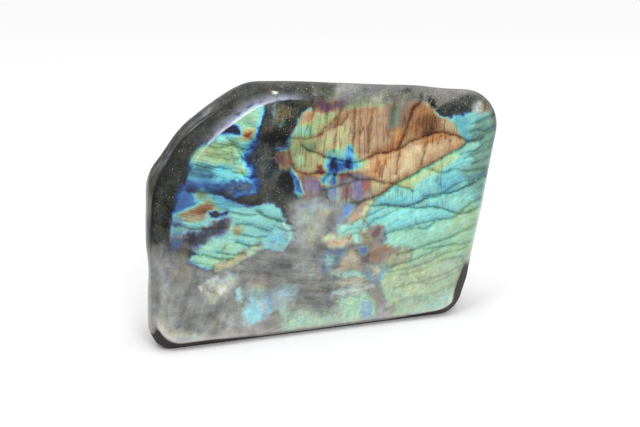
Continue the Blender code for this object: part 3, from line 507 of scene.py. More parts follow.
# The cracks of the face.
CRACKS = (
    Crack((-15, 67.5, -10.3, 66.8, -6.7, 67, -3.5, 67.7, -0.7, 69, 2.3, 69.8, 4.6, 71.6, 6, 74), 0.5, 0.5),
    Crack((1.6, 69.6, 2.6, 72, 3.8, 75), 0.8, 0.4),
    Crack((-11, 64.6, -9.2, 62.9, -6, 61.7, -3, 60.2, 0, 59.3, 2.7, 58.5, 6.2, 57.8, 9, 57.8, 12, 58.6,
        14.6, 59.4, 16.7, 60, 19.5, 59.8, 22.3, 60.5, 25, 61, 27.6, 62.5, 29.5, 63.3, 31.6, 63.8,
        34.3, 64.6, 37.3, 65.3, 40.3, 65.2, 43.3, 64.3, 46.3, 63.5, 48.9, 62.4, 50, 61.5, 52, 61.7,
        54.5, 61.9, 57, 62.8), 0.5, 0.75),
    Crack((33.2, 79, 32.5, 76, 30.2, 74, 28.7, 70.7, 27.2, 67.5, 25.6, 63.9, 24.1, 61.2), 0.65, 0.75),
    Crack((50, 61.3, 48.8, 60.3, 46.5, 59, 42.7, 57.9, 40, 56.7, 37.3, 55.5, 35, 54.3, 32.3, 53.2, 30, 52,
        27.4, 51, 25.1, 50.1, 22.5, 48.8, 19.8, 47.6, 17.2, 46.3, 13.3, 45.2, 11, 44.7, 8, 43.8,
        5.8, 44.2), 0.55, 0.8),
    Crack((-14.6, 58.4, -13.4, 56.4, -10.7, 55.2, -8.3, 54.9, -5.4, 55.2, -3.3, 54.8, -1.3, 53.9,
        1.6, 53.9, 4.4, 53.8, 6.5, 52.8, 8.6, 51.6, 11.5, 51.4, 15, 50.7, 18.2, 49.5, 21, 48.9,
        24.8, 47.6, 27.4, 46.9, 28.6, 45.8), 0.5, 0.7),
    Crack((-5, 49.2, -2.5, 49.4, 0, 49.9, 2.8, 50.7, 5.7, 50.9, 8.6, 51.3), 0.45, 0.65),
    Crack((-15, 67, -15.4, 63, -15.2, 60, -14.6, 57), 0.5, 0.55),
    Crack((32.7, 53.7, 35.8, 53, 38.7, 51.8, 41.6, 51.4, 44.3, 52, 47, 51.7, 50, 51.2, 53.8, 51.6,
        57.2, 51.4), 0.45, 0.6),
    Crack((38.6, 50.6, 38.2, 48, 40, 46.6), 0.5, 0.3),
    Crack((33, 43.6, 39.5, 44.4, 44.2, 46.3, 48, 47.4, 52, 48, 55.8, 49.7, 59, 50.6), 0.6, 0.5),
    Crack((17, 42.3, 20.7, 41.7, 26.4, 41, 30.2, 42, 34, 42.9, 38.2, 43.7, 41.7, 44.3, 46, 44.6,
        50.5, 46.2, 55, 48.4, 59, 49.6), 0.5, 0.85),
    Crack((11, 43.4, 14, 42.4, 17, 42.3), 0.35, 0.5),
    Crack((24.5, 41, 30.1, 40.2, 35, 40, 38.1, 39.5, 41.1, 38.5, 44, 37.2, 46.3, 36.4, 50, 36.6,
        54, 38), 0.42, 0.75),
    Crack((17.7, 32, 21.4, 32.8, 24.4, 33.2, 28.2, 33.9, 32, 34.5, 35, 35, 39.5, 35.2, 44, 35.4, 46.3, 36,
        48.4, 38.1, 51.3, 39.6, 55, 41), 0.42, 0.6),
    Crack((26, 32.6, 29.2, 33, 33.4, 32.8, 35.7, 33.7, 38, 35), 0.55, 0.55),
    Crack((22.6, 24.8, 26.4, 25.4, 29, 25.7, 32.5, 26.6, 36.3, 27.4, 40.1, 27.7, 43.2, 28.5, 47.1, 30,
        49.8, 30.9, 53.5, 32.4), 0.42, 0.55),
    Crack((33, 25.6, 37.6, 25.5, 41, 25.4, 44.5, 25.9, 47.5, 25.5, 51, 26.3), 0.42, 0.45),
    Crack((20, 20.4, 26.2, 21.6, 30.3, 22.5, 33.7, 23.5, 37.8, 24.6, 40.1, 25.4), 0.5, 0.5),
    Crack((19, 18.6, 26, 19.2, 31, 20.2, 34.7, 20.9, 39.2, 22.4, 43, 23.5, 46.8, 23.8,
        50, 24.5), 0.5, 0.42),
    Crack((24, 17.2, 27, 17.6, 30.3, 18.2, 35.5, 19.4, 40, 20.6, 45, 21.2, 49.4, 21.4), 0.5, 0.35),
    Crack((21, 12.6, 26, 13.6, 30.6, 14, 33.6, 14.4, 37.7, 15, 43, 16.2, 46.9, 18.2,
        49.4, 19.8), 0.5, 0.38),
    Crack((33.2, 13, 37.6, 13.4, 41, 14.4, 44.5, 15.1, 47.4, 16.4), 0.45, 0.33),
    Crack((28, 17.8, 29.6, 16, 31, 15.4), 0.35, 0.3),
    Crack((21, 7, 28, 8.8, 34, 9, 40, 10.4, 46, 12.2), 0.6, 0.22),
    Crack((51.5, 67.6, 54.2, 67.7, 58, 69, 61, 70), 0.45, 0.5),
    Crack((51, 64.6, 54, 65.4, 57, 64.6, 60, 65.7, 63, 67), 0.5, 0.5),
    Crack((52, 61.7, 55.8, 63, 59.9, 64.6, 63, 65.4), 0.45, 0.45),
    Crack((47.5, 57.4, 50.3, 57.9, 54, 58.5, 57.2, 60.4, 62, 62), 0.42, 0.55),
    Crack((49, 55.6, 52.5, 56.6, 56, 58, 60.6, 59.6), 0.38, 0.5),
    Crack((52, 53.6, 56, 54.6, 61, 56.4), 0.45, 0.5),
    Crack((50, 48.8, 54, 49.4, 58, 51), 0.38, 0.35),
    Crack((44, 42.6, 50, 43.8, 56, 45.6), 0.35, 0.3),
    Crack((47.6, 40.2, 50, 42.4, 55, 44), 0.35, 0.35),
    Crack((6, 36.6, 9, 38.6, 13, 39.6, 17, 41, 22, 41.6), 0.35, 0.45),
    Crack((10.6, 35.4, 14, 37.4, 18, 38.6, 24, 40.8), 0.38, 0.5),
    Crack((2, 33.6, 6, 35.2, 10, 34.6), 0.35, 0.4),
    Crack((4.6, 31.6, 6.6, 33.6, 10.4, 33), 0.3, 0.5),
    Crack((10.4, 38, 9.6, 35, 8.4, 32.6, 8.6, 30.6), 0.35, 0.35),
    Crack((-41.6, 67.6, -39.7, 67.2, -37.6, 66.2, -34.6, 65.6, -32.2, 64.9), 0.32, 0.45),
    Crack((-34, 67.5, -32.4, 65.6, -31, 63.4, -30, 61.8), 0.3, 0.4),
    Crack((-43.6, 64.4, -40, 63.6, -36, 63.4), 0.3, 0.35),
    Crack((-30.4, 73, -28, 72.4, -25.6, 71), 0.28, 0.35),
    Crack((-47.6, 59.4, -43, 58.6), 0.35, 0.4),
    Crack((-50.6, 52.8, -45, 51.4, -40, 50.4, -37, 49.4), 0.35, 0.55),
    Crack((-55.5, 41.8, -52.6, 41.4, -50, 40.4, -46, 39.8, -42.4, 39.4), 0.4, 0.6),
    Crack((-27, 44.1, -24.4, 42.3, -20.7, 40.9, -17.9, 40, -15.4, 39.2), 0.45, 0.75),
    Crack((-34.5, 40.2, -32, 40, -29.8, 39.5, -27.4, 38.8, -25.5, 38, -24, 37.4), 0.4, 0.65),
    Crack((-23.6, 37, -22, 38, -20.8, 39.4, -20, 40.6), 0.4, 0.4),
    Crack((-20.7, 38.4, -18.6, 37.4, -16.7, 36.8, -14.6, 36.6), 0.4, 0.6),
    Crack((-34.4, 34.6, -31.9, 33.5, -29.7, 32.8, -27, 33), 0.45, 0.7),
    Crack((-35, 37.4, -31.8, 36.4, -28.4, 35.7, -25, 35.6), 0.4, 0.5),
    Crack((-50.4, 32.8, -48, 31.9, -45.6, 31.2, -42.6, 30.5, -40.1, 29.6, -36, 29.3), 0.5, 0.75),
    Crack((-41.4, 31.9, -38, 31, -35.8, 30.6, -31.8, 30.5), 0.45, 0.6),
    Crack((-50.4, 29.4, -47.6, 28.7, -45.7, 27.9, -41.8, 26.5), 0.4, 0.45),
    Crack((-48.6, 58.2, -46, 57.6, -43.4, 56.6, -40.6, 56.4), 0.4, 0.5),
    Crack((-35, 57.4, -32.2, 56.6, -30, 55.5, -27.6, 55.2), 0.4, 0.6),
    Crack((-35.2, 67.6, -35, 65, -34.9, 62, -34.6, 60), 0.4, 0.4),
    Crack((-43.6, 63.6, -40.1, 62.8, -36.7, 61.9, -33, 61.6), 0.4, 0.45),
    Crack((-31.6, 60.6, -32.2, 58.4, -32, 56.4), 0.4, 0.35),
    Crack((-38, 44.4, -34, 43.8, -30.6, 42.8, -28, 42.9), 0.4, 0.5),
    Crack((-52, 37.2, -47, 36, -43, 35.6), 0.4, 0.35),
    Crack((-38.3, 33.7, -39.4, 32.4, -41, 31.6), 0.4, 0.4),
    Crack((-6.2, 77, -7, 70.5, -7.4, 66.6), 0.32, 0.55),
    Crack((-1.4, 77.6, -1.6, 73, -2.2, 69.4), 0.32, 0.5),
    Crack((4.4, 76.6, 2.6, 73.6, 0.4, 71.2, -2.6, 69, -4.6, 66.8), 1.1, 0.42),
    Crack((1.9, 70, 1.3, 66, 0.6, 61.4), 0.42, 0.65),
    Crack((8.8, 75.6, 8.2, 70, 7.6, 64.6, 7.1, 61), 0.42, 0.55),
    Crack((10.8, 75.4, 10.4, 70, 9.8, 64.4, 9.4, 59.4), 0.3, 0.42),
    Crack((15.2, 74.6, 14.2, 68, 13.4, 62.4, 12.8, 60.2), 0.32, 0.5),
    Crack((22.8, 76, 21.4, 70, 20.7, 65.6), 0.8, 0.5),
    Crack((25, 61.4, 23.6, 56, 22.8, 52.4), 0.42, 0.65),
    Crack((19, 57.8, 18, 54, 17.6, 51.8), 0.36, 0.55),
    Crack((16.4, 57, 15.6, 53.4), 0.3, 0.5),
    Crack((34.8, 62, 33.4, 57.4, 32.6, 54.8), 0.36, 0.5),
    Crack((-9.4, 61.8, -9.8, 57.6), 0.3, 0.5),
    Crack((-38, 50.6, -36.6, 49.4, -33, 47.8, -29, 46.8, -26.6, 47.8), 0.5, 0.85),
    Crack((-49.6, 52.4, -46, 52, -42, 51, -38.4, 50.4), 0.5, 0.6),
    Crack((-46.6, 60.6, -43, 59.8, -39.6, 59.6, -36, 58.6), 0.4, 0.6),
    Crack((-42.6, 66.6, -39, 65.6, -35, 65.8, -31, 64.2, -28.4, 64.6), 0.45, 0.6),
    Crack((-36, 68.4, -33.6, 65.6, -32, 62.6, -31.4, 60.8), 0.4, 0.6),
)


FLAKES = CLOUD + LEAF + LOWER_SHEET + VEIN + COPPER_SHEET + TEAL_SHEET + CLOUD_SIGNS + PATCHES

# Where each set of fine layers shows, and where tiny pale specks do.
GRAINS = (
    Grain("upright", (-15, 78, 40, 78, 49, 63, 44, 56, 44, 36, 30, 32, 24, 44, 8, 42, -6, 44,
        -13, 50), 8, 1),
    Grain("level", (-58, 76, -22, 80, -24, 60, -16, 44, -14, 30, 0, 34, 12, 34, 12, 10, -4, 6, -30, 22,
        -58, 24), 8, 1),
    Grain("fan", (48, 74, 64, 76, 64, 40, 54, 0, -30, 0, -30, 26, 0, 30, 14, 40, 34, 52, 48, 60), 8, 1),
    Grain("grit", (-26, 84, -14, 84, -12, 72, -18, 60, -13, 50, -20, 46, -26, 50, -26, 60,
        -24, 70), 8, 0.4),
    Grain("grit", (-66, 44, -58, 44, -54, 52, -48, 64, -40, 72, -28, 80, -26, 88, -54, 84,
        -70, 60), 6, 0.3),
    Grain("grit", (-66, 46, -61, 46, -57, 57, -49, 68, -40, 76, -30, 83, -28, 88, -54, 88,
        -74, 60), 3, 0.9),
    Grain("grit", (-19.6, 70, -19.6, 77, -12.4, 77.6, -11.6, 71, -15.6, 69.4), 2, 1),
    Grain("steep", (-70, 36, -50, 34, -36, 24, -36, 0, -70, 0), 8, 1),
    Grain("banded", (-36, 34, 14, 34, 12, 10, -14, 8, -24, 20, -36, 22), 8, 1),
    Grain("grit", (36, 79, 37, 72, 42, 71, 50, 73, 54, 70, 60, 70, 60, 80, 44, 80), 3, 0.9),
    Grain("grit", (-22, 86, -8, 79, 6, 82, 20, 75, 36, 76, 36, 84, 10, 86), 4, 0.8),
)

# The stone's shape, as in the CAD part: an outline at each share of its depth. Each corner is x, z and the
# radius that rounds it. They run clockwise: foot, hip, shoulder, upper left, crown, upper right, hip, foot.
STATIONS = {
    share: tuple(Corner(*corner) for corner in corners)
    for share, corners in (
        (0.00, ((-63.4, 3.0, 9), (-59.6, 31.0, 50), (-54.0, 50.0, 50), (-46.4, 65.6, 40),
                (-22.5, 80.8, 30), (64.6, 74.8, 12), (49.6, 20.6, 4), (42.0, 3.2, 3))),
        (0.12, ((-63.6, 0.0, 7), (-62.2, 38.0, 40), (-60.6, 54.6, 26), (-50.0, 70.2, 34),
                (-25.8, 84.2, 22), (66.4, 77.0, 12), (51.6, 12.2, 8), (47.1, 0.0, 9.6))),
        (0.24, ((-63.2, 0.0, 8), (-62.6, 42.0, 40), (-61.5, 55.6, 18), (-50.2, 71.2, 34),
                (-28.0, 85.5, 16), (67.8, 77.2, 13), (53.4, 13.0, 8), (49.4, 0.0, 11))),
        (0.42, ((-61.2, 0.0, 10), (-61.6, 42.0, 40), (-60.8, 55.6, 16), (-48.7, 70.4, 36),
                (-27.4, 85.1, 18), (67.2, 76.0, 15), (54.8, 14.5, 9), (50.0, 0.0, 10))),
        (0.70, ((-57.2, 0.0, 12), (-58.0, 40.0, 50), (-56.1, 53.6, 20), (-43.6, 67.2, 36),
                (-23.0, 80.0, 18), (61.8, 70.8, 17), (53.2, 17.0, 14), (47.6, 0.0, 9))),
        (0.90, ((-52.0, 0.0, 13), (-51.4, 34.0, 50), (-48.0, 46.5, 26), (-36.5, 59.6, 30),
                (-18.0, 70.6, 20), (54.0, 62.4, 18), (47.6, 19.0, 16), (43.6, 0.0, 10))),
        (1.00, ((-41.0, 9.0, 12), (-40.0, 32.0, 24), (-36.5, 41.0, 26), (-28.0, 50.0, 24),
                (-11.0, 58.6, 18), (42.0, 52.0, 16), (38.0, 21.0, 14), (34.0, 9.0, 9))),
    )
}
GIRTH_SHARE = 0.42
BEVEL_SHARE = 0.12

# How strongly each row of points shows the painted shade of the crease behind the bevel, the painted
# highlight on the rim of the face along its upper left edge, and the painted reflection of the floor on
# the rim along its foot.
CREASE_SHADE_ROWS = (0.3, 0.8, 1.0, 0.9, 0.4)
UPPER_RIM_HIGHLIGHT = (0.0, 0.3, 0.8, 0.7, 0.5, 0.36, 0.24, 0.1)
LOWER_RIM_REFLECTION = (0.1, 0.2, 0.4, 0.65, 0.9, 1.0, 0.6, 0.2)

# For each corner of the outline: how far the rounding of the ridge reaches into the face and down the bevel,
# how deep the flash shows behind the face's plane, and how deep the face's own markings do.
INNER_WIDTHS = (2.4, 1.6, 0.7, 0.6, 0.8, 4.4, 1.8, 1.6)
OUTER_WIDTHS = (2.4, 1.8, 1.8, 4.2, 4.4, 4.4, 1.6, 1.4)
FLASH_REACHES = (1.2, 1.2, 1.0, 0.8, 1.2, 6.0, 1.4, 1.2)
MARKING_REACHES = (10.0, 8.0, 4.2, 3.6, 6.0, 20.0, 4.6, 4.6)

DENTS = (
    Dent(-54.0, -9.0, 62.0, 8.0, 0.8),
    Dent(-64.0, -5.0, 27.0, 9.0, 0.8),
    Dent(-31.0, 2.0, 84.0, 9.0, 0.7),
    Dent(66.0, 0.0, 46.0, 12.0, 1.1),
    Dent(-22.0, 15.0, 30.0, 19.0, 1.8),
    Dent(24.0, 12.0, 48.0, 15.0, 1.5),
    Dent(36.0, 17.0, 17.0, 11.0, 1.2),
    Dent(24.0, -6.0, 81.0, 26.0, -0.9),
)


@dataclass(frozen=True)
class StoneSize:
    """The driving sizes of the stone, in millimetres unless the name says otherwise."""

    face_lean_deg: float = 5.0
    face_foot_y: float = -19.4
    base_depth: float = 37.0
    depth_lost_per_mm_up: float = 0.15
    face_dome: float = 0.9
    face_dome_width: float = 36.0
    back_dome: float = 3.2
    back_dome_width: float = 24.0
    hummock_height: float = 0.8
    hummock_size: float = 17.0
    relief_fade_above_foot: float = 9.0
    relief_full_at_share: float = 0.3
    middle: tuple[float, float, float] = (2.0, 0.0, 38.0)
    noise_origin: tuple[float, float, float] = (3.7, 1.9, 8.3)


@dataclass(frozen=True)
class MeshSize:
    """How fine the mesh is. cap_clearance is a share of the spacing, and dome_step counts points."""

    ring_spacing: float = 0.72
    face_spacing: float = 0.43
    back_spacing: float = 1.0
    cap_clearance: float = 0.6
    cap_tolerance: float = 1e-6
    dome_step: int = 4
    ridge_steps: int = 8
    bevel_steps: int = 4
    crease_steps: int = 5
    flank_steps: int = 34
    crease_start: float = 0.84
    crease_end_share: float = 0.145
    ridge_share_of_bevel: float = 0.72


def smooth_step(value: float | Array) -> float | Array:
    """0 below 0, 1 above 1, and an even rise between, for a number or an array."""
    t = np.clip(value, 0.0, 1.0)
    return t * t * (3 - 2 * t)


def share_along(x: Array, z: Array, start: Array, end: Array) -> Array:
    """How far along a straight line the places are, from 0 at its start to 1 at its end."""
    along = end - start
    return np.clip(((x - start[0]) * along[0] + (z - start[1]) * along[1]) / (along @ along), 0, 1)


def edge_distance(x: Array, z: Array, outline: Array) -> Array:
    """The distance of places from a closed outline, negative inside it.

    Args:
        x, z: The places.
        outline: The outline's corners, one a row.

    Returns:
        One signed distance for each place.
    """
    nearest = np.full(x.shape, np.inf)
    inside = np.zeros(x.shape, bool)
    for start, end in zip(outline, np.roll(outline, -1, axis=0)):
        along = end - start
        t = share_along(x, z, start, end)
        nearest = np.minimum(nearest, np.hypot(x - start[0] - along[0] * t, z - start[1] - along[1] * t))
        if start[1] != end[1]:
            spans = (start[1] > z) != (end[1] > z)
            inside ^= spans & (x < start[0] + (z - start[1]) * along[0] / along[1])
    return np.where(inside, -nearest, nearest)


def bend(start: Array, corner: Array, end: Array, steps: int) -> list[Array]:
    """Rows of points on the smooth bend from start to end that rounds off the corner, without its last row.

    Args:
        start: One row of points before the corner.
        corner: The row on the corner.
        end: One row behind the corner.
        steps: The number of rows.

    Returns:
        The rows, from start towards end.
    """
    rows = []
    for step in range(steps):
        t = step / steps
        rows.append((1 - t) ** 2 * start + 2 * t * (1 - t) * corner + t**2 * end)
    return rows


@dataclass
class Loft:
    """The outlines of the stone at every share of its depth, with the same count of points on each."""

    size: StoneSize
    fineness: MeshSize

    def __post_init__(self) -> None:
        """Rounds every station's corners."""
        self.shares = sorted(STATIONS)
        counts = self.step_counts(STATIONS[GIRTH_SHARE], self.fineness.ring_spacing)
        self.outlines = [self.rounded_outline(STATIONS[share], counts) for share in self.shares]
        self.places = self.corner_places(counts)
        self.inner_widths = self.along_corners(INNER_WIDTHS)
        self.outer_widths = self.along_corners(OUTER_WIDTHS)
        self.flash_reaches = self.along_corners(FLASH_REACHES)
        self.marking_reaches = self.along_corners(MARKING_REACHES)

    @staticmethod
    def fillet(corners: tuple[Corner, ...], index: int) -> tuple[Vector, float, float, Vector, Vector]:
        """The arc that rounds one corner.

        Args:
            corners: The outline's corners.
            index: Which of them.

        Returns:
            The arc's centre, first angle and turn, and its two ends.
        """
        radius = corners[index].radius
        before, here, after = (Vector(corners[n % len(corners)][:2]) for n in (index - 1, index, index + 1))
        incoming, outgoing = (here - before).normalized(), (after - here).normalized()
        turn = math.atan2(incoming.cross(outgoing), incoming.dot(outgoing))
        reach = radius * math.tan(abs(turn) / 2)
        start, end = here - incoming * reach, here + outgoing * reach
        side = math.copysign(1.0, turn)
        centre = start + Vector((-incoming.y, incoming.x)) * side * radius
        first = math.atan2(start.y - centre.y, start.x - centre.x)
        return centre, first, turn, start, end

    @classmethod
    def step_counts(cls, corners: tuple[Corner, ...], spacing: float) -> list[tuple[int, int]]:
        """Steps along each corner's arc and along the straight after it.

        Args:
            corners: The outline's corners.
            spacing: The distance between points.

        Returns:
            A pair of counts for each corner.
        """
        counts = []
        for index, corner in enumerate(corners):
            _, _, turn, _, end = cls.fillet(corners, index)
            next_start = cls.fillet(corners, (index + 1) % len(corners))[3]
            arc_steps = max(2, round(abs(turn) * corner.radius / spacing))
            counts.append((arc_steps, max(1, round((next_start - end).length / spacing))))
        return counts

    @classmethod
    def rounded_outline(cls, corners: tuple[Corner, ...], counts: list[tuple[int, int]]) -> Array:
        """The closed outline with its corners rounded.

        Args:
            corners: The outline's corners.
            counts: The steps along each arc and straight.

        Returns:
            The points, one a row, as (x, z).
        """
        points = []
        for index, (arc_steps, straight_steps) in enumerate(counts):
            centre, first, turn, _, end = cls.fillet(corners, index)
            for step in range(arc_steps):
                angle = first + turn * step / arc_steps
                points.append(centre + Vector((math.cos(angle), math.sin(angle))) * corners[index].radius)
            next_start = cls.fillet(corners, (index + 1) % len(corners))[3]
            for step in range(straight_steps):
                points.append(end.lerp(next_start, step / straight_steps))
        return np.array(points)

    @staticmethod
    def corner_places(counts: list[tuple[int, int]]) -> Array:
        """Where each point of the outline lies between its corners.

        Args:
            counts: The steps along each arc and straight.

        Returns:
            The number of each point's corner plus how far it is towards the next.
        """
        places = []
        for index, (arc_steps, straight_steps) in enumerate(counts):
            places += [float(index)] * arc_steps
            places += [index + step / straight_steps for step in range(straight_steps)]
        return np.array(places)

    def along_corners(self, values: tuple[float, ...]) -> Array:
        """A value for each point of the outline, evened out between those given for the corners."""
        return np.interp(self.places, range(len(values) + 1), values + values[:1])

    def outline_at(self, share: float) -> Array:
        """The outline at a share of the depth: straight across the bevel, then smooth through the stations.

        Args:
            share: 0 at the face and 1 at the edge of the back.

        Returns:
            The points, one a row, as (x, z).
        """
        shares, outlines = self.shares, self.outlines
        last = len(shares) - 1
        low = max(i for i in range(last) if shares[i] <= share)
        span = shares[low + 1] - shares[low]
        t = (share - shares[low]) / span
        if low == 0:
            return outlines[0] * (1 - t) + outlines[1] * t

        def slope(station: int) -> Array:
            """The curve's change per unit of share at a station. It starts afresh behind the bevel."""
            before, after = max(station - 1, 1), min(station + 1, last)
            return (outlines[after] - outlines[before]) / (shares[after] - shares[before])

        near, far = 2 * t**3 - 3 * t**2 + 1, -2 * t**3 + 3 * t**2
        leaving, arriving = (t**3 - 2 * t**2 + t) * span, (t**3 - t**2) * span
        ends = outlines[low] * near + outlines[low + 1] * far
        return ends + slope(low) * leaving + slope(low + 1) * arriving

    def placed(self, places: Array, share: float) -> Array:
        """The points at a share of the stone's depth, behind these places (x, z) of the front view."""
        z = np.maximum(places[:, 1], 0.0)
        return np.stack([places[:, 0], self.face_y(z) + share * self.depth_at(z), z], axis=1)

    def face_y(self, z: Array) -> Array:
        """Where the plane of the face stands at a height."""
        return self.size.face_foot_y + z * math.tan(math.radians(self.size.face_lean_deg))

    def depth_at(self, z: Array) -> Array:
        """How deep the stone is at a height, up to the edge of its back."""
        return self.size.base_depth - self.size.depth_lost_per_mm_up * z

    def share_of(self, points: Array) -> Array:
        """How far through the stone's depth each smooth point is, from 0 to 1."""
        depth = points[:, 1] - self.face_y(points[:, 2])
        return np.maximum(depth, 0.0) / self.depth_at(points[:, 2])

    def with_relief(self, points: Array, share: float | Array) -> Array:
        """The points with the low hummocks and dents of the flanks and the back.

        Args:
            points: Smooth points, one a row.
            share: Their share of the depth, or one for each of them.

        Returns:
            The moved points.
        """
        size = self.size
        strength = smooth_step(points[:, 2] / size.relief_fade_above_foot)
        strength = strength * smooth_step(share / size.relief_full_at_share)
        outward = points - np.array(size.middle)
        outward /= np.linalg.norm(outward, axis=1, keepdims=True)
        origin = Vector(size.noise_origin)
        heights = [noise.noise(Vector(point) / size.hummock_size + origin) for point in points]
        lift = size.hummock_height * np.array(heights)
        for dent in DENTS:
            distance = np.linalg.norm(points - np.array((dent.x, dent.y, dent.z)), axis=1)
            lift -= dent.depth * smooth_step(1 - distance / dent.radius)
        moved = points + outward * (lift * strength)[:, None]
        moved[:, 2] = np.maximum(moved[:, 2], 0.0)
        return moved


@dataclass
class StoneMesh:
    """The fine closed mesh of the stone."""

    size: StoneSize
    fineness: MeshSize

    def __post_init__(self) -> None:
        """Rounds the outlines."""
        self.loft = Loft(self.size, self.fineness)
        self.points = np.zeros((0, 3))
        self.faces: list[tuple[int, ...]] = []

    def rows(self) -> list[Array]:
        """Lays out the rings of points from the face's inner edge over the ridge and flank to the back.

        Returns:
            The rings, one after another.
        """
        loft, fineness = self.loft, self.fineness
        ridge = loft.placed(loft.outlines[0], 0.0)
        crease = loft.placed(loft.outlines[1], BEVEL_SHARE)
        inner = loft.placed(self.face_outline(), 0.0)
        bevel = crease - ridge
        length = np.linalg.norm(bevel, axis=1, keepdims=True)
        turn = np.minimum(loft.outer_widths[:, None] / length, fineness.ridge_share_of_bevel)
        outer = ridge + bevel * turn
        before = ridge + bevel * fineness.crease_start
        behind = loft.placed(loft.outline_at(fineness.crease_end_share), fineness.crease_end_share)
        smooth = bend(inner, ridge, outer, fineness.ridge_steps)
        for step in range(fineness.bevel_steps):
            t = step / fineness.bevel_steps
            smooth.append(outer * (1 - t) + before * t)
        smooth += bend(before, crease, behind, fineness.crease_steps)
        found = [loft.with_relief(row, loft.share_of(row)) for row in smooth]
        for share in np.linspace(fineness.crease_end_share, 1.0, fineness.flank_steps + 1):
            found.append(loft.with_relief(loft.placed(loft.outline_at(share), share), share))
        return found

    def face_outline(self) -> Array:
        """The flat of the face: the ridge's outline drawn in by the width of its rounding.

        Returns:
            The points, one a row, as (x, z).
        """
        outline = self.loft.outlines[0]
        along = np.roll(outline, -1, axis=0) - np.roll(outline, 1, axis=0)
        along /= np.linalg.norm(along, axis=1, keepdims=True)
        inward = np.stack([along[:, 1], -along[:, 0]], axis=1)
        return outline + inward * self.loft.inner_widths[:, None]

    def filling(self, outline: Array, spacing: float) -> Array:
        """A grid of even triangles' corners inside the outline, clear of its edge.

        Args:
            outline: The outline's points, as (x, z).
            spacing: The side of the triangles.

        Returns:
            The places, one a row.
        """
        low, high = outline.min(axis=0), outline.max(axis=0)
        row_height = spacing * math.sqrt(3) / 2
        rows = np.arange(low[1] + row_height, high[1], row_height)
        columns = np.arange(low[0], high[0], spacing)
        x, z = np.meshgrid(columns, rows)
        x[1::2] += spacing / 2
        x, z = x.ravel(), z.ravel()
        clear = edge_distance(x, z, outline) < -self.fineness.cap_clearance * spacing
        return np.stack([x[clear], z[clear]], axis=1)

    def add_cap(self, outline: Array, filling: Array, lifted: Array, first: int) -> None:
        """Closes a ring with triangles.

        Args:
            outline: The ring's places, as (x, z).
            filling: The places inside it.
            lifted: The filling's points in space.
            first: The number of the ring's first point.
        """
        count = len(outline)
        places = [Vector(place) for place in np.concatenate([outline, filling])]
        ring = [list(range(count))]
        found = delaunay_2d_cdt(places, [], ring, 1, self.fineness.cap_tolerance)
        triangles, sources = found[2], [source[0] for source in found[3]]
        first_new = len(self.points)
        numbers = [first + n if n < count else first_new + n - count for n in sources]
        self.points = np.concatenate([self.points, lifted])
        self.faces += [tuple(numbers[n] for n in triangle) for triangle in triangles]

    def build(self) -> bpy.types.Object:
        """Builds the stone and works out what each point's finish depends on.

        Returns:
            The stone as one object, in metres, with smooth shading.
        """
        loft, fineness = self.loft, self.fineness
        rows = self.rows()
        size = len(rows[0])
        self.points = np.concatenate(rows)
        for row in range(len(rows) - 1):
            for n in range(size):
                across = (n + 1) % size
                below, above = row * size, (row + 1) * size
                self.faces.append((below + n, below + across, above + across, above + n))
        face, back, sizes = self.face_outline(), loft.outlines[-1], self.size
        filling = self.filling(face, fineness.face_spacing)
        self.add_cap(face, filling, self.domed(filling, 0.0, -sizes.face_dome, sizes.face_dome_width), 0)
        filling = self.filling(back, fineness.back_spacing)
        domed = loft.with_relief(self.domed(filling, 1.0, sizes.back_dome, sizes.back_dome_width), 1.0)
        self.add_cap(back, filling, domed, (len(rows) - 1) * size)
        self.flash_reaches = self.spread(np.tile(loft.flash_reaches, len(rows)), 0, max(FLASH_REACHES))
        self.marking_reaches = self.spread(np.tile(loft.marking_reaches, len(rows)), 0, max(MARKING_REACHES))
        # Rows for the painted shade of the crease, the painted highlight of the upper rim and the painted
        # reflection on the foot rim.
        spare = fineness.crease_steps - len(CREASE_SHADE_ROWS)
        crease = fineness.ridge_steps + fineness.bevel_steps + spare // 2
        self.crease = self.spread(np.repeat(CREASE_SHADE_ROWS, size), crease * size)
        self.upper_highlight_amounts = self.spread(np.repeat(UPPER_RIM_HIGHLIGHT, size))
        self.foot_reflection_amounts = self.spread(np.repeat(LOWER_RIM_REFLECTION, size))
        return self.as_object()

    def spread(self, values: Array, first: int = 0, elsewhere: float = 0.0) -> Array:
        """A value for every point: the values from the first of their points on, and one value elsewhere."""
        rest = len(self.points) - first - len(values)
        return np.concatenate([np.full(first, elsewhere), values, np.full(rest, elsewhere)])

    def domed(self, places: Array, share: float, height: float, width: float) -> Array:
        """Points of the face or the back, which rise in a low dome.

        Args:
            places: Places (x, z) on it, one a row.
            share: 0 for the face and 1 for the back.
            height: How far the dome stands out, negative towards the front.
            width: How far in from the edge it rises.

        Returns:
            The points, one a row.
        """
        outline = self.loft.outlines[0 if share == 0 else -1][:: self.fineness.dome_step]
        distance = -edge_distance(places[:, 0], places[:, 1], outline)
        points = self.loft.placed(places, share)
        points[:, 1] += height * smooth_step(distance / width)
        return points

    def as_object(self) -> bpy.types.Object:
        """Makes the object from the points and faces, with every face's normal outward.

        Returns:
            The object, in the scene.
        """
        mesh = bpy.data.meshes.new("polished_stone")
        mesh.from_pydata((self.points * MM).tolist(), [], self.faces)
        shaped = bmesh.new()
        shaped.from_mesh(mesh)
        bmesh.ops.recalc_face_normals(shaped, faces=shaped.faces)
        shaped.to_mesh(mesh)
        shaped.free()
        mesh.shade_smooth()
        stone = bpy.data.objects.new("polished_stone", mesh)
        bpy.context.scene.collection.objects.link(stone)
        return stone


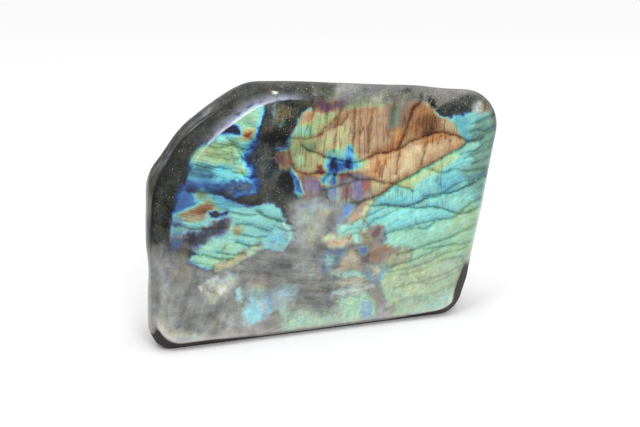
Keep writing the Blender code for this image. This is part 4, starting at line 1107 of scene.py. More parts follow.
class PlaneNoise:
    """Smooth gradient noise in the plane, the same on every run."""

    CELLS = 256
    FINER = 2.03
    WEAKER = 0.5
    SHIFT_X = 17.3
    SHIFT_Z = -9.1

    def __init__(self, seed: int) -> None:
        """Draws the directions of the noise's slopes.

        Args:
            seed: The number that the draws start from.
        """
        draw = np.random.default_rng(seed)
        self.order = draw.permutation(self.CELLS)
        angles = draw.uniform(0, 2 * math.pi, self.CELLS)
        self.slopes = np.stack([np.cos(angles), np.sin(angles)], axis=1)

    def at(self, x: Array, z: Array) -> Array:
        """The noise, between about -1 and 1, at places in cells.

        Args:
            x, z: The places.

        Returns:
            One value for each place.
        """
        cell_x, cell_z = np.floor(x).astype(int), np.floor(z).astype(int)
        part_x, part_z = x - cell_x, z - cell_z
        blend_x, blend_z = (part**3 * (part * (part * 6 - 15) + 10) for part in (part_x, part_z))

        def corner(right: int, up: int) -> Array:
            """What one corner of the cell adds.

            Args:
                right: 1 for the corners on the right, otherwise 0.
                up: 1 for the upper corners, otherwise 0.

            Returns:
                One value for each place.
            """
            row = self.order[(cell_x + right) % self.CELLS]
            slope = self.slopes[self.order[(row + cell_z + up) % self.CELLS]]
            return slope[..., 0] * (part_x - right) + slope[..., 1] * (part_z - up)

        low = corner(0, 0) + (corner(1, 0) - corner(0, 0)) * blend_x
        high = corner(0, 1) + (corner(1, 1) - corner(0, 1)) * blend_x
        return (low + (high - low) * blend_z) * math.sqrt(2)

    def layers(self, x: Array, z: Array, count: int) -> Array:
        """Several layers of the noise, each half as large and half as strong as the one before.

        Args:
            x, z: The places, in cells of the largest layer.
            count: The number of layers.

        Returns:
            One value for each place.
        """
        total = np.zeros(x.shape)
        for layer in range(count):
            scale = self.FINER**layer
            found = self.at(x * scale + self.SHIFT_X * layer, z * scale + self.SHIFT_Z * layer)
            total += self.WEAKER**layer * found
        return total


class Waver(NamedTuple):
    """How an edge wavers: the width and layers of its noise, and how far off it is read, in widths."""

    width: float
    layers: int
    offset_x: float = 0.0
    offset_z: float = 0.0

    def at(self, noise_field: PlaneNoise, x: Array, z: Array) -> Array:
        """The waver at places (x, z), from about -1 to 1."""
        across, up = x / self.width + self.offset_x, z / self.width + self.offset_z
        return noise_field.layers(across, up, self.layers)


class Rise(NamedTuple):
    """A soft rise from 0 to 1. Its width is negative where it falls off towards larger values."""

    start: float
    width: float

    def at(self, value: Array, unit: float | Array = 1.0) -> Array:
        """How far the value is up the rise, which is measured in units."""
        return smooth_step((value - self.start * unit) / (self.width * unit))


def pairs(numbers: tuple[float, ...]) -> Array:
    """Places given as x and z by turns, one a row."""
    return np.array(numbers, float).reshape(-1, 2)


def smooth_path(places: Array, steps: int) -> Array:
    """Points on a smooth curve through the places.

    Args:
        places: The places the curve runs through, one a row.
        steps: Points between one place and the next.

    Returns:
        The points, one a row.
    """
    p = np.vstack([2 * places[0] - places[1], places, 2 * places[-1] - places[-2]])
    found = []
    for a, b, c, d in zip(p, p[1:], p[2:], p[3:]):
        for step in range(steps):
            t = step / steps
            curve = 2 * b + (c - a) * t + (2 * a - 5 * b + 4 * c - d) * t**2 + (3 * b - a - 3 * c + d) * t**3
            found.append(0.5 * curve)
    found.append(p[-2])
    return np.array(found)


def path_distance(x: Array, z: Array, path: Array) -> Array:
    """The distance of places from an open path, negative below it.

    Args:
        x, z: The places.
        path: The path's points, one a row.

    Returns:
        One signed distance for each place.
    """
    nearest = np.full(x.shape, np.inf)
    for start, end in zip(path, path[1:]):
        along = end - start
        t = share_along(x, z, start, end)
        off_x, off_z = x - start[0] - along[0] * t, z - start[1] - along[1] * t
        away = np.hypot(off_x, off_z)
        nearer = away < np.abs(nearest)
        nearest[nearer] = np.copysign(away, off_z)[nearer]
    return nearest


@dataclass(frozen=True)
class PlaySize:
    """How the play of colour wavers and how it lies in the stone.

    The dips are how far the layers lean for each millimetre of depth, and the leads are shares of an
    edge's width.
    """

    seed: int = 11
    dip_x: float = 0.384
    dip_z: float = 0.277
    broad_x: Waver = Waver(9.0, 3)
    broad_z: Waver = Waver(9.0, 3, 40.0, -13.0)
    broad_amount: float = 0.9
    fine_x: Waver = Waver(1.6, 2, 5.0, 0.0)
    fine_z: Waver = Waver(1.6, 2, -31.0, 8.0)
    fine_amount: float = 0.5
    crack_broad: float = 0.35
    crack_fine: float = 0.25
    margin: float = 5.0
    path_steps: int = 4
    halo: float = 0.2
    halo_width: float = 3.0
    crack_shade: float = 0.5
    shade_reach: float = 1.3
    crack_shine: float = 0.3
    shine_reach: float = 1.0
    ground_grey: float = 58.0
    dull_flash: float = 0.3
    even_lead: float = 0.5
    dark_lead: float = 1.1
    outer_lead: float = 0.9
    inner_lead: float = -0.3
    soft_dip: float = 0.6
    soft_edge: float = 1.6
    rainbow_edge: float = 1.3
    crack_tilt: float = 0.11
    tilt_turns_at: float = 0.58
    tilt_turns_over: float = 0.1


@dataclass
class PlayOfColour:
    """The flakes, cracks and grain of the face, worked out for any place on it."""

    size: PlaySize

    def __post_init__(self) -> None:
        """Draws the noise that makes edges waver."""
        self.noise = PlaneNoise(self.size.seed)

    def seen_at(self, points: Array, depth: Array) -> tuple[Array, Array]:
        """The x and z on the face whose layers, which dip into the stone, come out at points this deep."""
        return points[:, 0] - self.size.dip_x * depth, points[:, 2] + self.size.dip_z * depth

    def fields(self, x: Array, z: Array) -> dict[str, Array]:
        """Everything that the finish needs to know about places on the face.

        Args:
            x, z: The places.

        Returns:
            Named values, one for each place.
        """
        size = self.size
        wavers = (size.broad_x, size.broad_z, size.fine_x, size.fine_z)
        broad_x, broad_z, fine_x, fine_z = (waver.at(self.noise, x, z) for waver in wavers)
        waver_x = size.broad_amount * broad_x + size.fine_amount * fine_x
        waver_z = size.broad_amount * broad_z + size.fine_amount * fine_z
        found = {
            "order": np.zeros(x.shape),
            "flash": np.zeros(x.shape),
            "grey": np.full(x.shape, size.ground_grey),
            "shade": np.ones(x.shape),
        }
        for flake in FLAKES:
            self.lay(flake, x + flake.waver * waver_x, z + flake.waver * waver_z, found)
        crack_x = x + size.crack_broad * broad_x + size.crack_fine * fine_x
        crack_z = z + size.crack_broad * broad_z + size.crack_fine * fine_z
        found["crack"], light = self.cracks(crack_x, crack_z)
        found["shade"] *= 1 + light
        side = np.clip((found["order"] - size.tilt_turns_at) / size.tilt_turns_over, -1, 1)
        found["order"] += size.crack_tilt * side * np.maximum(-light, 0.0) / size.crack_shade
        for grain in GRAINS:
            away = edge_distance(x + waver_x, z + waver_z, pairs(grain.outline))
            amount = grain.strength * smooth_step(size.even_lead - away / grain.edge)
            found[grain.name] = np.maximum(found.get(grain.name, 0.0), amount)
        return found

    def near(self, x: Array, z: Array, places: Array) -> Array:
        """Which places lie in the box round an outline or a path."""
        low, high = places.min(axis=0) - self.size.margin, places.max(axis=0) + self.size.margin
        return (x > low[0]) & (x < high[0]) & (z > low[1]) & (z < high[1])

    def lay(self, flake: Flake, x: Array, z: Array, found: dict[str, Array]) -> None:
        """Lays one flake over what is there.

        Args:
            flake: The flake.
            x, z: The places, wavered.
            found: The values so far, which are changed.
        """
        size = self.size
        outline = pairs(flake.outline)
        edge = flake.edge * (size.soft_edge if flake.blend is Blend.SOFT else size.rainbow_edge)
        near = self.near(x, z, outline)
        if not near.any():
            return
        away = edge_distance(x[near], z[near], outline)
        amount = smooth_step(size.even_lead - away / edge)
        order_amount = smooth_step(self.lead(flake) - away / edge)
        if flake.blend is Blend.SOFT:
            found["flash"][near] *= 1 - size.soft_dip * 4 * order_amount * (1 - order_amount)
        layers = [
            ("order", self.order_of(flake, x[near], z[near]), order_amount),
            ("flash", flake.flash, amount),
            ("shade", flake.shade, amount),
        ]
        if flake.grey is not None:
            layers.append(("grey", flake.grey, amount))
        for name, value, share in layers:
            found[name][near] += (value - found[name][near]) * share

    def lead(self, flake: Flake) -> float:
        """How far outside the flake's edge its order takes over, as a share of the edge's width.

        A sheet that thins out towards a dark flake runs through the blues before it ends. A soft flake
        changes the order where little of it flashes: outside the flake if it flashes itself, else inside.

        Args:
            flake: The flake.

        Returns:
            The share, which is negative for a change inside the edge.
        """
        size = self.size
        dull = flake.flash < size.dull_flash
        if flake.blend is Blend.SOFT:
            return size.inner_lead if dull else size.outer_lead
        return size.dark_lead if dull else size.even_lead

    @staticmethod
    def order_of(flake: Flake, x: Array, z: Array) -> Array:
        """The flake's order at places, which may change steadily across it.

        Args:
            flake: The flake.
            x, z: The places, wavered.

        Returns:
            One order for each place.
        """
        slope = flake.slope
        if slope is None:
            return np.full(x.shape, float(flake.order))
        start, end = np.array((slope.start_x, slope.start_z)), np.array((slope.end_x, slope.end_z))
        return flake.order + (slope.last_order - flake.order) * share_along(x, z, start, end)

    def cracks(self, x: Array, z: Array) -> tuple[Array, Array]:
        """The lines of the cracks. The sheet above each sinks into shade, and the one below starts bright.

        Args:
            x, z: The places, wavered.

        Returns:
            How deep in a crack each place lies, from 0 to 1, and how much lighter its sheet is there.
        """
        size = self.size
        depth, light = np.zeros(x.shape), np.zeros(x.shape)
        for crack in CRACKS:
            path = smooth_path(pairs(crack.places), size.path_steps)
            near = self.near(x, z, path)
            if not near.any():
                continue
            away = path_distance(x[near], z[near], path)
            halo = size.halo * np.exp(-((away / crack.width / size.halo_width) ** 2))
            line = np.exp(-((away / crack.width) ** 2)) + halo
            depth[near] = np.maximum(depth[near], crack.depth * np.minimum(line, 1.0))
            shade = -size.crack_shade * np.exp(-np.abs(away) / size.shade_reach)
            shine = size.crack_shine * np.exp(-np.abs(away) / size.shine_reach)
            light[near] += crack.depth * np.where(away > 0, shade, shine)
        return depth, np.clip(light, -size.crack_shade, size.crack_shine)


class ScreenCurve(NamedTuple):
    """How a screen's numbers stand for light: a straight start, and then a power curve."""

    full: float = 255.0
    straight_end: float = 0.04045
    straight_divisor: float = 12.92
    offset: float = 0.055
    power: float = 2.4


def paint(red: float, green: float, blue: float) -> Paint:
    """The light that a colour on a screen stands for.

    Args:
        red, green, blue: The colour in 255ths.

    Returns:
        The light's red, green and blue, and full cover.
    """
    curve = ScreenCurve()
    shown = np.array([red, green, blue]) / curve.full
    curved = ((shown + curve.offset) / (1.0 + curve.offset)) ** curve.power
    light = np.where(shown <= curve.straight_end, shown / curve.straight_divisor, curved)
    return (*light.tolist(), 1.0)


# The run of colours that a sheet flashes as its layers grow thicker, from none to violet.
ORDER_COLOURS = (
    (0.00, (36, 38, 42)),
    (0.06, (36, 42, 72)),
    (0.13, (42, 74, 138)),
    (0.20, (60, 118, 188)),
    (0.28, (98, 178, 216)),
    (0.36, (116, 208, 216)),
    (0.44, (142, 219, 206)),
    (0.52, (158, 212, 178)),
    (0.60, (176, 204, 148)),
    (0.66, (192, 196, 136)),
    (0.72, (208, 188, 144)),
    (0.78, (196, 158, 116)),
    (0.84, (192, 138, 84)),
    (0.895, (168, 98, 62)),
    (0.94, (140, 84, 96)),
    (1.00, (112, 98, 150)),
)
GROUND_TINTS = ((0.30, (226, 236, 244)), (0.50, (246, 250, 242)), (0.70, (255, 247, 228)))
FLANK_COLOURS = (
    (0.30, (22, 22, 22)),
    (0.42, (44, 43, 40)),
    (0.52, (70, 68, 66)),
    (0.64, (104, 101, 100)),
    (0.80, (150, 146, 146)),
)
GLEAM_COLOURS = (
    (0.36, (62, 92, 132)),
    (0.48, (84, 116, 112)),
    (0.58, (112, 110, 84)),
    (0.68, (118, 92, 70)),
)
SPECK_COLOURS = ((0.20, (166, 138, 92)), (0.50, (188, 182, 168)), (0.85, (214, 216, 222)))
# Painted shade in the crease and on the underside, a painted highlight on the upper rim, and a painted
# reflection of the floor on the foot rim.
CREASE_SHADE_COLOUR = (16, 15, 14)
RIDGE_HIGHLIGHT_COLOUR = (172, 176, 196)
FOOT_RIM_REFLECTION_COLOUR = (228, 216, 210)
UNDERSIDE_SHADE_COLOUR = (30, 21, 20)
FOOT_COLOUR = (96, 93, 89)


class Mottle(NamedTuple):
    """A smooth noise about 0.5: its waves to a unit, its finer layers and how strong those are."""

    scale: float
    layers: float = 2.0
    strength: float = 0.5


class Streak(NamedTuple):
    """The way that streaks run, in degrees, and how wide and long they are in millimetres."""

    degrees: float
    width: float
    length: float


class Swing(NamedTuple):
    """What a value is where there is none of something, and what it gains where there is all of it."""

    none: float
    gain: float


class Graph:
    """Short ways to add shader nodes to one tree."""

    MIDDLE = 0.5

    def __init__(self, tree: bpy.types.NodeTree) -> None:
        """Keeps the tree's nodes and links."""
        self.nodes, self.links = tree.nodes, tree.links

    def add(self, kind: str, inputs: dict, **settings: str | bool) -> bpy.types.Node:
        """Adds a node and sets or links its inputs.

        Args:
            kind: The node's type, without the word that all of them begin with.
            inputs: For each input's name or number, a value or another node's output.
            settings: The node's own settings.

        Returns:
            The node.
        """
        node = self.nodes.new("ShaderNode" + kind)
        for name, value in settings.items():
            setattr(node, name, value)
        return self.set(node, inputs)

    def set(self, node: bpy.types.Node, inputs: dict) -> bpy.types.Node:
        """Sets or links a node's inputs.

        Args:
            node: The node.
            inputs: For each input's name or number, a value or another node's output.

        Returns:
            The node.
        """
        for name, value in inputs.items():
            if isinstance(value, Socket):
                self.links.new(value, node.inputs[name])
            else:
                node.inputs[name].default_value = value
        return node

    def value(self, name: str) -> Socket:
        """The mesh's value of this name."""
        return self.add("Attribute", {}, attribute_name=name).outputs["Fac"]

    def maths(
        self,
        operation: str,
        first: float | Socket,
        second: float | Socket = 0.0,
        third: float | Socket = 0.0,
        clamp: bool = False,
    ) -> Socket:
        """A sum on one to three numbers."""
        inputs = {0: first, 1: second, 2: third}
        return self.add("Math", inputs, operation=operation, use_clamp=clamp).outputs[0]

    def times(self, first: float | Socket, second: float | Socket) -> Socket:
        """Two numbers multiplied."""
        return self.maths("MULTIPLY", first, second)

    def swung(self, base: float | Socket, swing: float | Socket, amount: float | Socket) -> Socket:
        """The base plus an amount of the swing."""
        return self.maths("MULTIPLY_ADD", swing, amount, base)

    def ramped(self, factor: Socket, low: float, high: float) -> Socket:
        """0 where the factor is below low, 1 above high, and an even rise between."""
        inputs = {"Value": factor, "From Min": low, "From Max": high}
        return self.add("MapRange", inputs, interpolation_type="SMOOTHSTEP").outputs["Result"]

    def mix(self, factor: float | Socket, first: Paint | Socket, second: Paint | Socket) -> Socket:
        """One colour laid over another."""
        inputs = {0: factor, 6: first, 7: second}
        return self.add("Mix", inputs, data_type="RGBA").outputs[2]

    def shaded(self, colour: Socket, light: Paint | Socket) -> Socket:
        """A colour multiplied by another."""
        inputs = {0: 1.0, 6: colour, 7: light}
        return self.add("Mix", inputs, data_type="RGBA", blend_type="MULTIPLY").outputs[2]

    def between(self, factor: Socket, first: float | Socket, second: float | Socket) -> Socket:
        """A number between two others."""
        return self.add("Mix", {0: factor, 2: first, 3: second}).outputs[0]

    def grey(self, light: Socket) -> Socket:
        """The grey of this lightness."""
        return self.add("CombineColor", {0: light, 1: light, 2: light}).outputs[0]

    def noise(self, vector: Socket, mottle: Mottle) -> Socket:
        """Smooth noise about 0.5."""
        inputs = dict(zip(("Vector", "Scale", "Detail", "Roughness"), (vector, *mottle)))
        return self.add("TexNoise", inputs).outputs["Fac"]

    def swing(self, vector: Socket, mottle: Mottle) -> Socket:
        """Smooth noise about nothing."""
        return self.maths("SUBTRACT", self.noise(vector, mottle), self.MIDDLE)

    def stretched(self, vector: Socket, scale: tuple[float, float, float]) -> Socket:
        """The vector stretched along each axis."""
        return self.add("VectorMath", {0: vector, 1: scale}, operation="MULTIPLY").outputs[0]

    def along(self, vector: Socket, streak: Streak) -> Socket:
        """Draws the vector out along streaks.

        Args:
            vector: The vector.
            streak: The way the streaks run, and their width and length.

        Returns:
            The vector turned that way and stretched to them.
        """
        inputs = {"Vector": vector, "Angle": math.radians(streak.degrees)}
        turn = self.add("VectorRotate", inputs, rotation_type="Z_AXIS")
        return self.stretched(turn.outputs[0], (1 / streak.width, 1 / streak.length, 1.0))

    def colours(self, factor: Socket, stops: tuple) -> Socket:
        """The colour of a run of stops at the factor.

        Args:
            factor: Where along the run.
            stops: The place and colour of each stop.

        Returns:
            The colour.
        """
        node = self.add("ValToRGB", {"Fac": factor})
        ramp = node.color_ramp
        while len(ramp.elements) < len(stops):
            ramp.elements.new(self.MIDDLE)
        for element, (position, colour) in zip(ramp.elements, stops):
            element.position = position
            element.color = paint(*colour)
        return node.outputs["Color"]


@dataclass(frozen=True)
class Layering:
    """Fine parallel lines that a set of layers draws on the face, and the fibres of the flash along them."""

    name: str
    lines: Streak
    line_width: float
    depth: float
    fibre: float


LAYERINGS = (
    Layering("upright", Streak(6.0, 3.0, 34.0), 0.024, 0.6, 0.65),
    Layering("level", Streak(105.0, 2.2, 26.0), 0.020, 0.30, 0.8),
    Layering("fan", Streak(70.0, 3.6, 34.0), 0.016, 0.22, 0.5),
)

# Soft streaks in the milky ground, by the grain that they follow.
GROUND_STREAKS = {"steep": Streak(20.0, 2.8, 7.0), "banded": Streak(99.0, 1.8, 14.0)}

# The pale specks: how many to a millimetre, and how far each reaches as a share of the room it has.
SPECK_SIZES = ((0.9, 0.20), (2.3, 0.32))


@dataclass(frozen=True)
class LabradoriteFinish:
    """The polished surface: the flash, the ground beneath it, the grain and the specks."""

    face_roughness: Swing = Swing(0.11, 0.06)
    flank_roughness: Swing = Swing(0.19, 0.10)
    foot_roughness: float = 0.6
    smear: Mottle = Mottle(0.5, 3.0)
    specular: float = 0.4
    # Noise that breaks up the painted highlight on the upper rim.
    highlight_mottle: Mottle = Mottle(0.4)
    highlight_mottle_range: tuple[float, float] = (0.2, 0.55)

    wisps: Streak = Streak(20.0, 1.5, 4.5)
    wisp_mottle: Mottle = Mottle(1.0, 4.0, 0.6)
    wisp_swing: float = 6.0

    flash_strength: float = 0.88
    broad_order: Mottle = Mottle(0.3)
    broad_order_swing: float = 0.18
    fine_order: Mottle = Mottle(1.9, 3.0, 0.6)
    fine_order_swing: float = 0.06
    fibre_width: float = 0.5
    fibre_length: float = 7.0
    fibre_mottle: Mottle = Mottle(1.0, 3.0, 0.6)
    flash_mottles: tuple = ((Mottle(0.32, 4.0, 0.62), 0.9), (Mottle(1.3, 4.0, 0.62), 0.6))

    screen_gamma: float = 2.2
    milky_range: tuple[float, float] = (60.0, 110.0)
    cloud: Mottle = Mottle(0.22, 6.0, 0.62)
    cloud_swing: Swing = Swing(4.6, -2.6)
    crumbs: Mottle = Mottle(1.3, 4.0, 0.7)
    crumb_swing: Swing = Swing(3.5, -2.8)
    grit_swing: float = 2.4
    streak_mottle: Mottle = Mottle(1.0, 3.0, 0.55)
    streak_swing: float = 1.6
    darkest_ground: float = 0.16
    tint: Mottle = Mottle(0.16, 4.0, 0.65)
    tint_depth: Swing = Swing(3.2, -2.2)

    line_mottle: Mottle = Mottle(1.0, 2.0, 0.4)
    line_gamma: float = 2.4
    line_light: Paint = (0.8, 0.8, 0.8, 1.0)

    speck_stir: float = 1.9
    speck_stir_reach: float = 1.3
    speck_core: float = 0.4
    speck_share: float = 0.6
    drift: Mottle = Mottle(0.42, 3.0)
    drift_range: tuple[float, float] = (0.38, 0.62)

    flank_scale: tuple[float, float, float] = (70.0, 620.0, 70.0)
    flank_streaks: Mottle = Mottle(1.0, 5.0, 0.6)
    flank_lumps: Mottle = Mottle(240.0, 5.0, 0.65)
    lump_swing: float = 0.7
    gleam: float = 0.4
    gleam_hue: Mottle = Mottle(55.0, 3.0)
    gleam_mottle: Mottle = Mottle(0.6, 4.0, 0.6)
    gleam_range: tuple[float, float] = (0.48, 0.72)

    def made(self) -> bpy.types.Material:
        """Makes the material, ready for the stone's mesh.

        Returns:
            The material.
        """
        material = bpy.data.materials.new("polished_labradorite")
        material.use_nodes = True
        graph = Graph(material.node_tree)
        where = graph.add("CombineXYZ", {0: graph.value("place_x"), 1: graph.value("place_z")}).outputs[0]
        flash, ground = self.flash_colour(graph, where), self.ground_colour(graph, where)
        face = graph.mix(self.flash_amount(graph, where), ground, flash)
        face = self.with_specks(graph, self.with_lines(graph, face, where), where)
        front = graph.value("front")
        body = graph.mix(front, self.flank_colour(graph), face)
        # Painted shade along the crease behind the bevel.
        body = graph.mix(graph.value("crease"), body, paint(*CREASE_SHADE_COLOUR))
        # A painted highlight along the upper left ridge, broken up by noise.
        highlight_breakup = graph.ramped(graph.noise(where, self.highlight_mottle), *self.highlight_mottle_range)
        body = graph.mix(graph.times(graph.value("rim"), highlight_breakup), body, paint(*RIDGE_HIGHLIGHT_COLOUR))
        # A painted reflection of the pale floor on the rim above the foot.
        body = graph.mix(graph.value("foot_rim"), body, paint(*FOOT_RIM_REFLECTION_COLOUR))
        # Painted shade on the underside, most where it faces down.
        body = graph.mix(graph.value("under"), body, paint(*UNDERSIDE_SHADE_COLOUR))
        inputs = {
            "Base Color": graph.mix(graph.value("foot"), body, paint(*FOOT_COLOUR)),
            "Roughness": self.roughness(graph, front, where),
            "Specular IOR Level": self.specular,
            "Metallic": 0.0,
        }
        graph.set(graph.nodes["Principled BSDF"], inputs)
        return material

    def flash_amount(self, graph: Graph, where: Socket) -> Socket:
        """The share of the colour that comes from the flash, which is wispy where it is in between.

        Args:
            graph: The material's nodes.
            where: The place on the face, in millimetres.

        Returns:
            The share.
        """
        flash = graph.value("flash")
        wisps = graph.swing(graph.along(where, self.wisps), self.wisp_mottle)
        part = graph.times(flash, graph.maths("SUBTRACT", 1.0, flash))
        return graph.maths("MULTIPLY_ADD", graph.times(wisps, self.wisp_swing), part, flash, clamp=True)

    def flash_colour(self, graph: Graph, where: Socket) -> Socket:
        """The colour that the sheets flash, with a fine weave of brighter and darker fibres.

        Args:
            graph: The material's nodes.
            where: The place on the face, in millimetres.

        Returns:
            The colour.
        """
        order = graph.value("order")
        order = graph.swung(order, graph.swing(where, self.broad_order), self.broad_order_swing)
        order = graph.swung(order, graph.swing(where, self.fine_order), self.fine_order_swing)
        shade = graph.times(graph.value("shade"), self.flash_strength)
        for layering in LAYERINGS:
            fibres = Streak(layering.lines.degrees, self.fibre_width, self.fibre_length)
            fibre = graph.swing(graph.along(where, fibres), self.fibre_mottle)
            shade = graph.swung(shade, graph.times(fibre, graph.value(layering.name)), layering.fibre)
        for mottle, amount in self.flash_mottles:
            swing = graph.times(graph.swing(where, mottle), amount)
            shade = graph.swung(shade, swing, graph.value("shade"))
        return graph.shaded(graph.colours(order, ORDER_COLOURS), graph.grey(shade))

    def ground_colour(self, graph: Graph, where: Socket) -> Socket:
        """The feldspar between the flashes: grey, cloudy and a little blue or brown.

        Args:
            graph: The material's nodes.
            where: The place on the face, in millimetres.

        Returns:
            The colour.
        """
        light = graph.maths("DIVIDE", graph.value("grey"), ScreenCurve().full)
        light = graph.maths("POWER", light, self.screen_gamma)
        milky = graph.ramped(graph.value("grey"), *self.milky_range)

        def by_milkiness(swing: Swing) -> Socket:
            """A value for dark ground that changes to another in the milky ground."""
            return graph.swung(swing.none, milky, swing.gain)

        crumb_swing = graph.swung(by_milkiness(self.crumb_swing), graph.value("grit"), self.grit_swing)
        change = graph.swung(1.0, graph.swing(where, self.cloud), by_milkiness(self.cloud_swing))
        change = graph.swung(change, graph.swing(where, self.crumbs), crumb_swing)
        for name, streak in GROUND_STREAKS.items():
            swing = graph.swing(graph.along(where, streak), self.streak_mottle)
            change = graph.swung(change, graph.times(swing, graph.value(name)), self.streak_swing)
        light = graph.times(light, graph.maths("MAXIMUM", change, self.darkest_ground))
        hue = graph.colours(graph.noise(where, self.tint), GROUND_TINTS)
        tint = graph.add("Gamma", {"Color": hue, "Gamma": by_milkiness(self.tint_depth)})
        return graph.shaded(tint.outputs[0], graph.grey(light))

    def with_lines(self, graph: Graph, colour: Socket, where: Socket) -> Socket:
        """Adds the cracks and the layers' fine lines, which are deeper shades of the same colour.

        Args:
            graph: The material's nodes.
            colour: The colour beneath.
            where: The place on the face, in millimetres.

        Returns:
            The colour with them.
        """
        depth = graph.value("crack")
        for layering in LAYERINGS:
            off = graph.maths("ABSOLUTE", graph.swing(graph.along(where, layering.lines), self.line_mottle))
            line = graph.maths("SUBTRACT", 1.0, graph.ramped(off, 0.0, layering.line_width))
            line = graph.times(line, graph.times(graph.value(layering.name), layering.depth))
            depth = graph.maths("MAXIMUM", depth, line)
        deep = graph.add("Gamma", {"Color": colour, "Gamma": self.line_gamma})
        return graph.mix(depth, colour, graph.shaded(deep.outputs[0], self.line_light))

    def with_specks(self, graph: Graph, colour: Socket, where: Socket) -> Socket:
        """Adds tiny pale specks of uneven shape, which lie in drifts.

        Args:
            graph: The material's nodes.
            colour: The colour beneath.
            where: The place on the face, in millimetres.

        Returns:
            The colour with them.
        """
        for scale, reach in SPECK_SIZES:
            stir = graph.add("TexNoise", {"Vector": where, "Scale": self.speck_stir * scale})
            inputs = {0: stir.outputs["Color"], 1: (self.speck_stir_reach / scale,) * 3, 2: where}
            stirred = graph.add("VectorMath", inputs, operation="MULTIPLY_ADD")
            cells = graph.add("TexVoronoi", {"Vector": stirred.outputs[0], "Scale": scale})
            chosen = graph.add("SeparateColor", {0: cells.outputs["Color"]}).outputs
            far = graph.ramped(cells.outputs["Distance"], self.speck_core * reach, reach)
            drift = graph.ramped(graph.noise(where, self.drift), *self.drift_range)
            share = graph.times(graph.times(graph.value("grit"), drift), self.speck_share)
            pick = graph.maths("GREATER_THAN", share, chosen[0])
            dot = graph.times(graph.maths("SUBTRACT", 1.0, far), pick)
            colour = graph.mix(graph.times(dot, chosen[1]), colour, graph.colours(chosen[2], SPECK_COLOURS))
        return colour

    def flank_colour(self, graph: Graph) -> Socket:
        """The flanks and the back: dark feldspar with long pale streaks and faint gleams.

        Args:
            graph: The material's nodes.

        Returns:
            The colour.
        """
        space = graph.add("TexCoord", {}).outputs["Object"]
        drawn_out = graph.stretched(space, self.flank_scale)
        streaks = graph.noise(drawn_out, self.flank_streaks)
        light = graph.swung(streaks, graph.swing(space, self.flank_lumps), self.lump_swing)
        colour = graph.colours(graph.maths("ADD", light, graph.value("paleness")), FLANK_COLOURS)
        hue = graph.colours(graph.noise(space, self.gleam_hue), GLEAM_COLOURS)
        gleam = graph.ramped(graph.noise(drawn_out, self.gleam_mottle), *self.gleam_range)
        return graph.mix(graph.times(gleam, self.gleam), colour, hue)

    def roughness(self, graph: Graph, front: Socket, where: Socket) -> Socket:
        """Smooth on the face, less so on the flanks, and matt on the underside and the sawn foot.

        Args:
            graph: The material's nodes.
            front: How far each place is on the face.
            where: The place on the face, in millimetres.

        Returns:
            The roughness.
        """
        smear = graph.noise(where, self.smear)
        face = graph.swung(self.face_roughness.none, smear, self.face_roughness.gain)
        flank = graph.swung(self.flank_roughness.none, smear, self.flank_roughness.gain)
        ground = graph.maths("MAXIMUM", graph.value("foot"), graph.value("under"))
        return graph.between(ground, graph.between(front, flank, face), self.foot_roughness)


